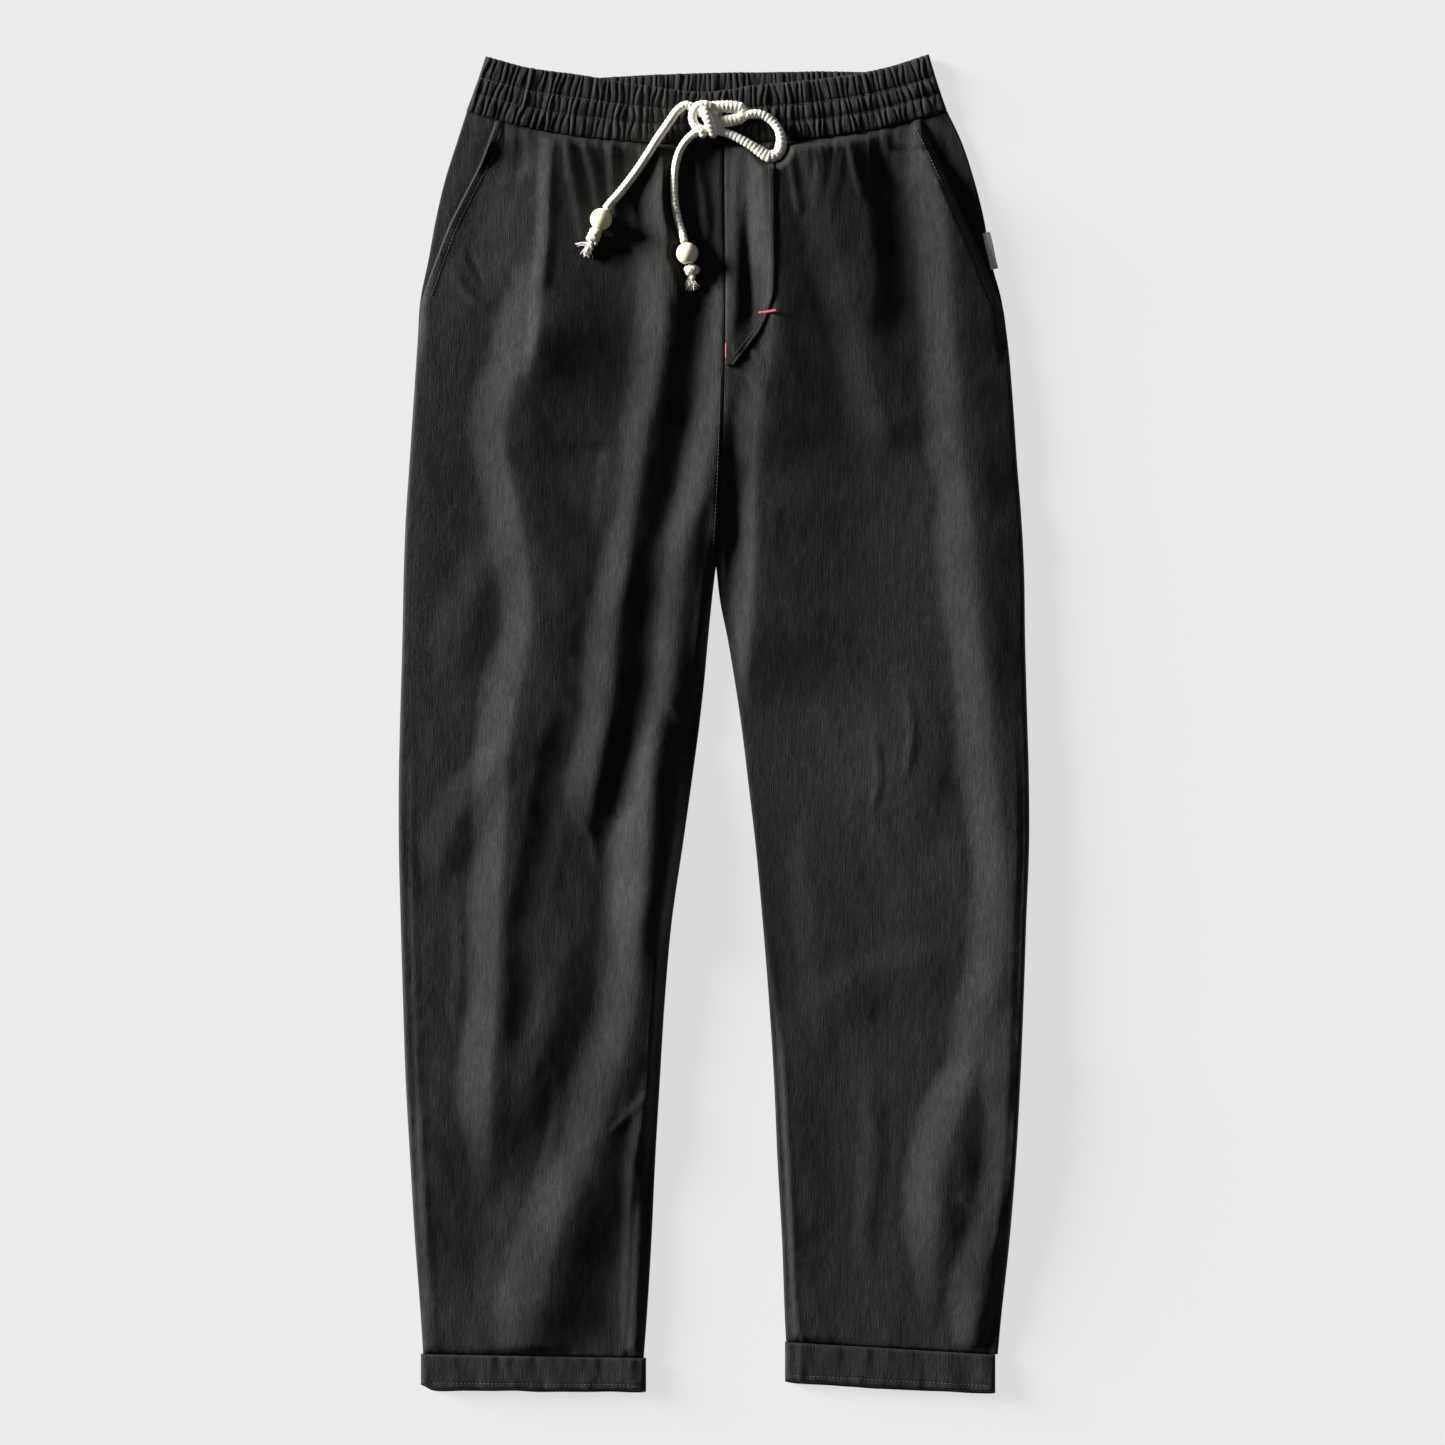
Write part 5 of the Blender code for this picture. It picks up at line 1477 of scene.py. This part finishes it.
def cloth_material(name, light):
    """Black linen and cotton: a plain weave with slubs along the leg, a random washed tone, and painted shade
    and painted highlights from the tone stored at each point.
    """
    made, nodes, links, shader = material(
        name,
        (0.014, 0.014, 0.0135),
        0.74,
        Sheen_Weight=0.03,
        Sheen_Roughness=0.5,
        Specular_IOR_Level=0.16,
    )
    slubs = texture(nodes, links, "ShaderNodeTexNoise", (1, 0.05, 1), Scale=1100, Detail=3, Roughness=0.65)
    cross = texture(nodes, links, "ShaderNodeTexNoise", (0.08, 1, 0.08), Scale=1200, Detail=2, Roughness=0.6)
    mottle = texture(nodes, links, "ShaderNodeTexNoise", (1, 0.45, 1), Scale=240, Detail=5, Roughness=0.7)
    warp = texture(nodes, links, "ShaderNodeTexWave", (1, 1, 1), Scale=480, Distortion=1.2, Detail=2)
    weft = texture(nodes, links, "ShaderNodeTexWave", (1, 1, 1), Scale=440, Distortion=1.2, Detail=2)
    warp.bands_direction = "X"
    weft.bands_direction = "Y"
    # The stored tone at each point: the cloth's random tone with painted shade and painted highlights
    painted_tone = nodes.new("ShaderNodeAttribute")
    painted_tone.attribute_name = "tone_and_painted_light"
    factor = painted_tone.outputs["Fac"]
    for yarn, dark, pale in ((slubs, 0.66, 1.34), (cross, 0.86, 1.14), (mottle, 0.72, 1.3)):
        spread = mapped(nodes, links, yarn.outputs["Fac"], 0.3, 0.7, dark, pale)
        factor = product(nodes, links, factor, spread)
    share = mapped(nodes, links, factor, 0, 3, 0, 1)
    two_tones(nodes, links, shader, share, (0, 0, 0), (3 * light, 3 * light, 2.7 * light))
    rough = mapped(nodes, links, mottle.outputs["Fac"], 0.3, 0.7, 0.8, 0.66)
    links.new(rough, shader.inputs["Roughness"])
    bump_chain(
        nodes,
        links,
        shader,
        (
            (mottle.outputs["Fac"], 0.0006),
            (slubs.outputs["Fac"], 0.0004),
            (warp.outputs["Fac"], 0.00007),
            (weft.outputs["Fac"], 0.00007),
        ),
    )
    return made


def cotton_material():
    """Ivory cotton cord: fine yarns across the braid, slightly yellow in its hollows."""
    made, nodes, links, shader = material(
        "cord_cotton", (0.82, 0.78, 0.66), 0.85, Sheen_Weight=0.25, Sheen_Roughness=0.5
    )
    yarn = texture(nodes, links, "ShaderNodeTexWave", (1, 1, 1), Scale=420, Distortion=5, Detail=3)
    fuzz = texture(nodes, links, "ShaderNodeTexNoise", (1, 1, 1), Scale=1500, Detail=4, Roughness=0.7)
    stain = texture(nodes, links, "ShaderNodeTexNoise", (1, 1, 1), Scale=70, Detail=2, Roughness=0.5)
    yarn.bands_direction = "DIAGONAL"
    share = mapped(nodes, links, stain.outputs["Fac"], 0.35, 0.62, 0, 1)
    two_tones(nodes, links, shader, share, (0.8, 0.75, 0.56), (0.93, 0.91, 0.83))
    bump_chain(
        nodes, links, shader, ((yarn.outputs["Fac"], 0.00016), (fuzz.outputs["Fac"], 0.00022))
    )
    return made


def wood_material():
    """Pale wooden beads under a thin satin finish, with faint grain."""
    made, nodes, links, shader = material(
        "bead_wood", (0.84, 0.79, 0.52), 0.42, Coat_Weight=0.15, Coat_Roughness=0.3
    )
    grain = texture(nodes, links, "ShaderNodeTexNoise", (1, 0.16, 1), Scale=520, Detail=4, Roughness=0.6)
    share = mapped(nodes, links, grain.outputs["Fac"], 0.35, 0.65, 0, 1)
    two_tones(nodes, links, shader, share, (0.76, 0.7, 0.4), (0.9, 0.87, 0.62))
    bump_chain(nodes, links, shader, ((grain.outputs["Fac"], 0.00012),))
    return made


def thread_material(name, low, high):
    """Sewing thread, twisted and a little shiny."""
    made, nodes, links, shader = material(name, high, 0.55, Sheen_Weight=0.2)
    twist = texture(nodes, links, "ShaderNodeTexNoise", (1, 1, 1), Scale=2600, Detail=2, Roughness=0.5)
    share = mapped(nodes, links, twist.outputs["Fac"], 0.35, 0.65, 0, 1)
    two_tones(nodes, links, shader, share, low, high)
    bump_chain(nodes, links, shader, ((twist.outputs["Fac"], 0.00008),))
    return made


def label_material():
    """White woven tape."""
    made, nodes, links, shader = material("label_tape", (0.8, 0.8, 0.78), 0.7, Sheen_Weight=0.15)
    weave = texture(nodes, links, "ShaderNodeTexWave", (1, 1, 1), Scale=700, Distortion=0.6, Detail=1)
    weave.bands_direction = "Y"
    two_tones(nodes, links, shader, weave.outputs["Fac"], (0.68, 0.68, 0.66), (0.86, 0.86, 0.84))
    bump_chain(nodes, links, shader, ((weave.outputs["Fac"], 0.00006),))
    return made


def floor_and_light():
    """A plain pale floor that glows a little, soft low light from the upper left, and an even fill."""
    bpy.ops.mesh.primitive_plane_add(size=8, location=(0, 0, -0.0003))
    floor = bpy.context.object
    floor.name = "floor"
    made, nodes, links, shader = material(
        "floor_paper",
        (FLOOR_TONE, FLOOR_TONE, FLOOR_TONE),
        1,
        Specular_IOR_Level=0,
        Emission_Color=(1, 1, 1, 1),
        Emission_Strength=FLOOR_GLOW,
    )
    floor.data.materials.append(made)
    sun = bpy.data.lights.new("soft_key", "SUN")
    sun.energy = KEY_ENERGY
    sun.angle = math.radians(KEY_SPREAD)
    key = bpy.data.objects.new("soft_key", sun)
    bpy.context.scene.collection.objects.link(key)
    height = math.sin(math.radians(KEY_HEIGHT))
    level = math.cos(math.radians(KEY_HEIGHT))
    way = math.radians(KEY_BEARING)
    source = Vector((-math.cos(way) * level, math.sin(way) * level, height))
    key.rotation_euler = source.to_track_quat("Z", "Y").to_euler()
    world = bpy.data.worlds.new("soft_fill")
    world.use_nodes = True
    world.node_tree.nodes["Background"].inputs["Color"].default_value = (1, 1, 1, 1)
    world.node_tree.nodes["Background"].inputs["Strength"].default_value = FILL
    bpy.context.scene.world = world


def look_down():
    """The camera looks straight down, as in the photo."""
    lens = bpy.data.cameras.new("top_camera")
    lens.lens = 100
    lens.sensor_width = 36
    lens.sensor_height = 36
    lens.clip_end = 50
    camera = bpy.data.objects.new("top_camera", lens)
    bpy.context.scene.collection.objects.link(camera)
    camera.location = (0.0064, 0.0015, 3.0104)
    bpy.context.scene.camera = camera


bpy.context.scene.view_settings.view_transform = "Standard"
bpy.context.scene.view_settings.look = "None"
bpy.context.scene.view_settings.exposure = 0
bpy.context.scene.view_settings.gamma = 1

look_down()
cotton = cotton_material()
drawstring(cotton, wood_material())

cloth = cloth_material("trouser_linen", CLOTH_LIGHT)
cloth_panels(cloth)
for which_side in ("left", "right"):
    pocket_facing(which_side, cloth)
    cuff_ring(which_side, cloth)
fly_flap(cloth)
waistband(cloth_material("waistband_linen", BAND_LIGHT))
side_label(label_material())
topstitching(thread_material("black_thread", (0.008, 0.008, 0.008), (0.03, 0.03, 0.03)))
red_thread = thread_material("red_thread", (0.3, 0.02, 0.04), (0.62, 0.09, 0.12))
bartack("bartack_fly_edge", (0.0398, 0.308), 0.0125, 0.0016, math.radians(6), flap_height, red_thread)
bartack(
    "bartack_fly_end",
    (0.0094, 0.279),
    0.0105,
    0.0016,
    math.pi / 2,
    lambda x, y: np.maximum(front_height("left", x, y), front_height("right", x, y)),
    red_thread,
)
floor_and_light()
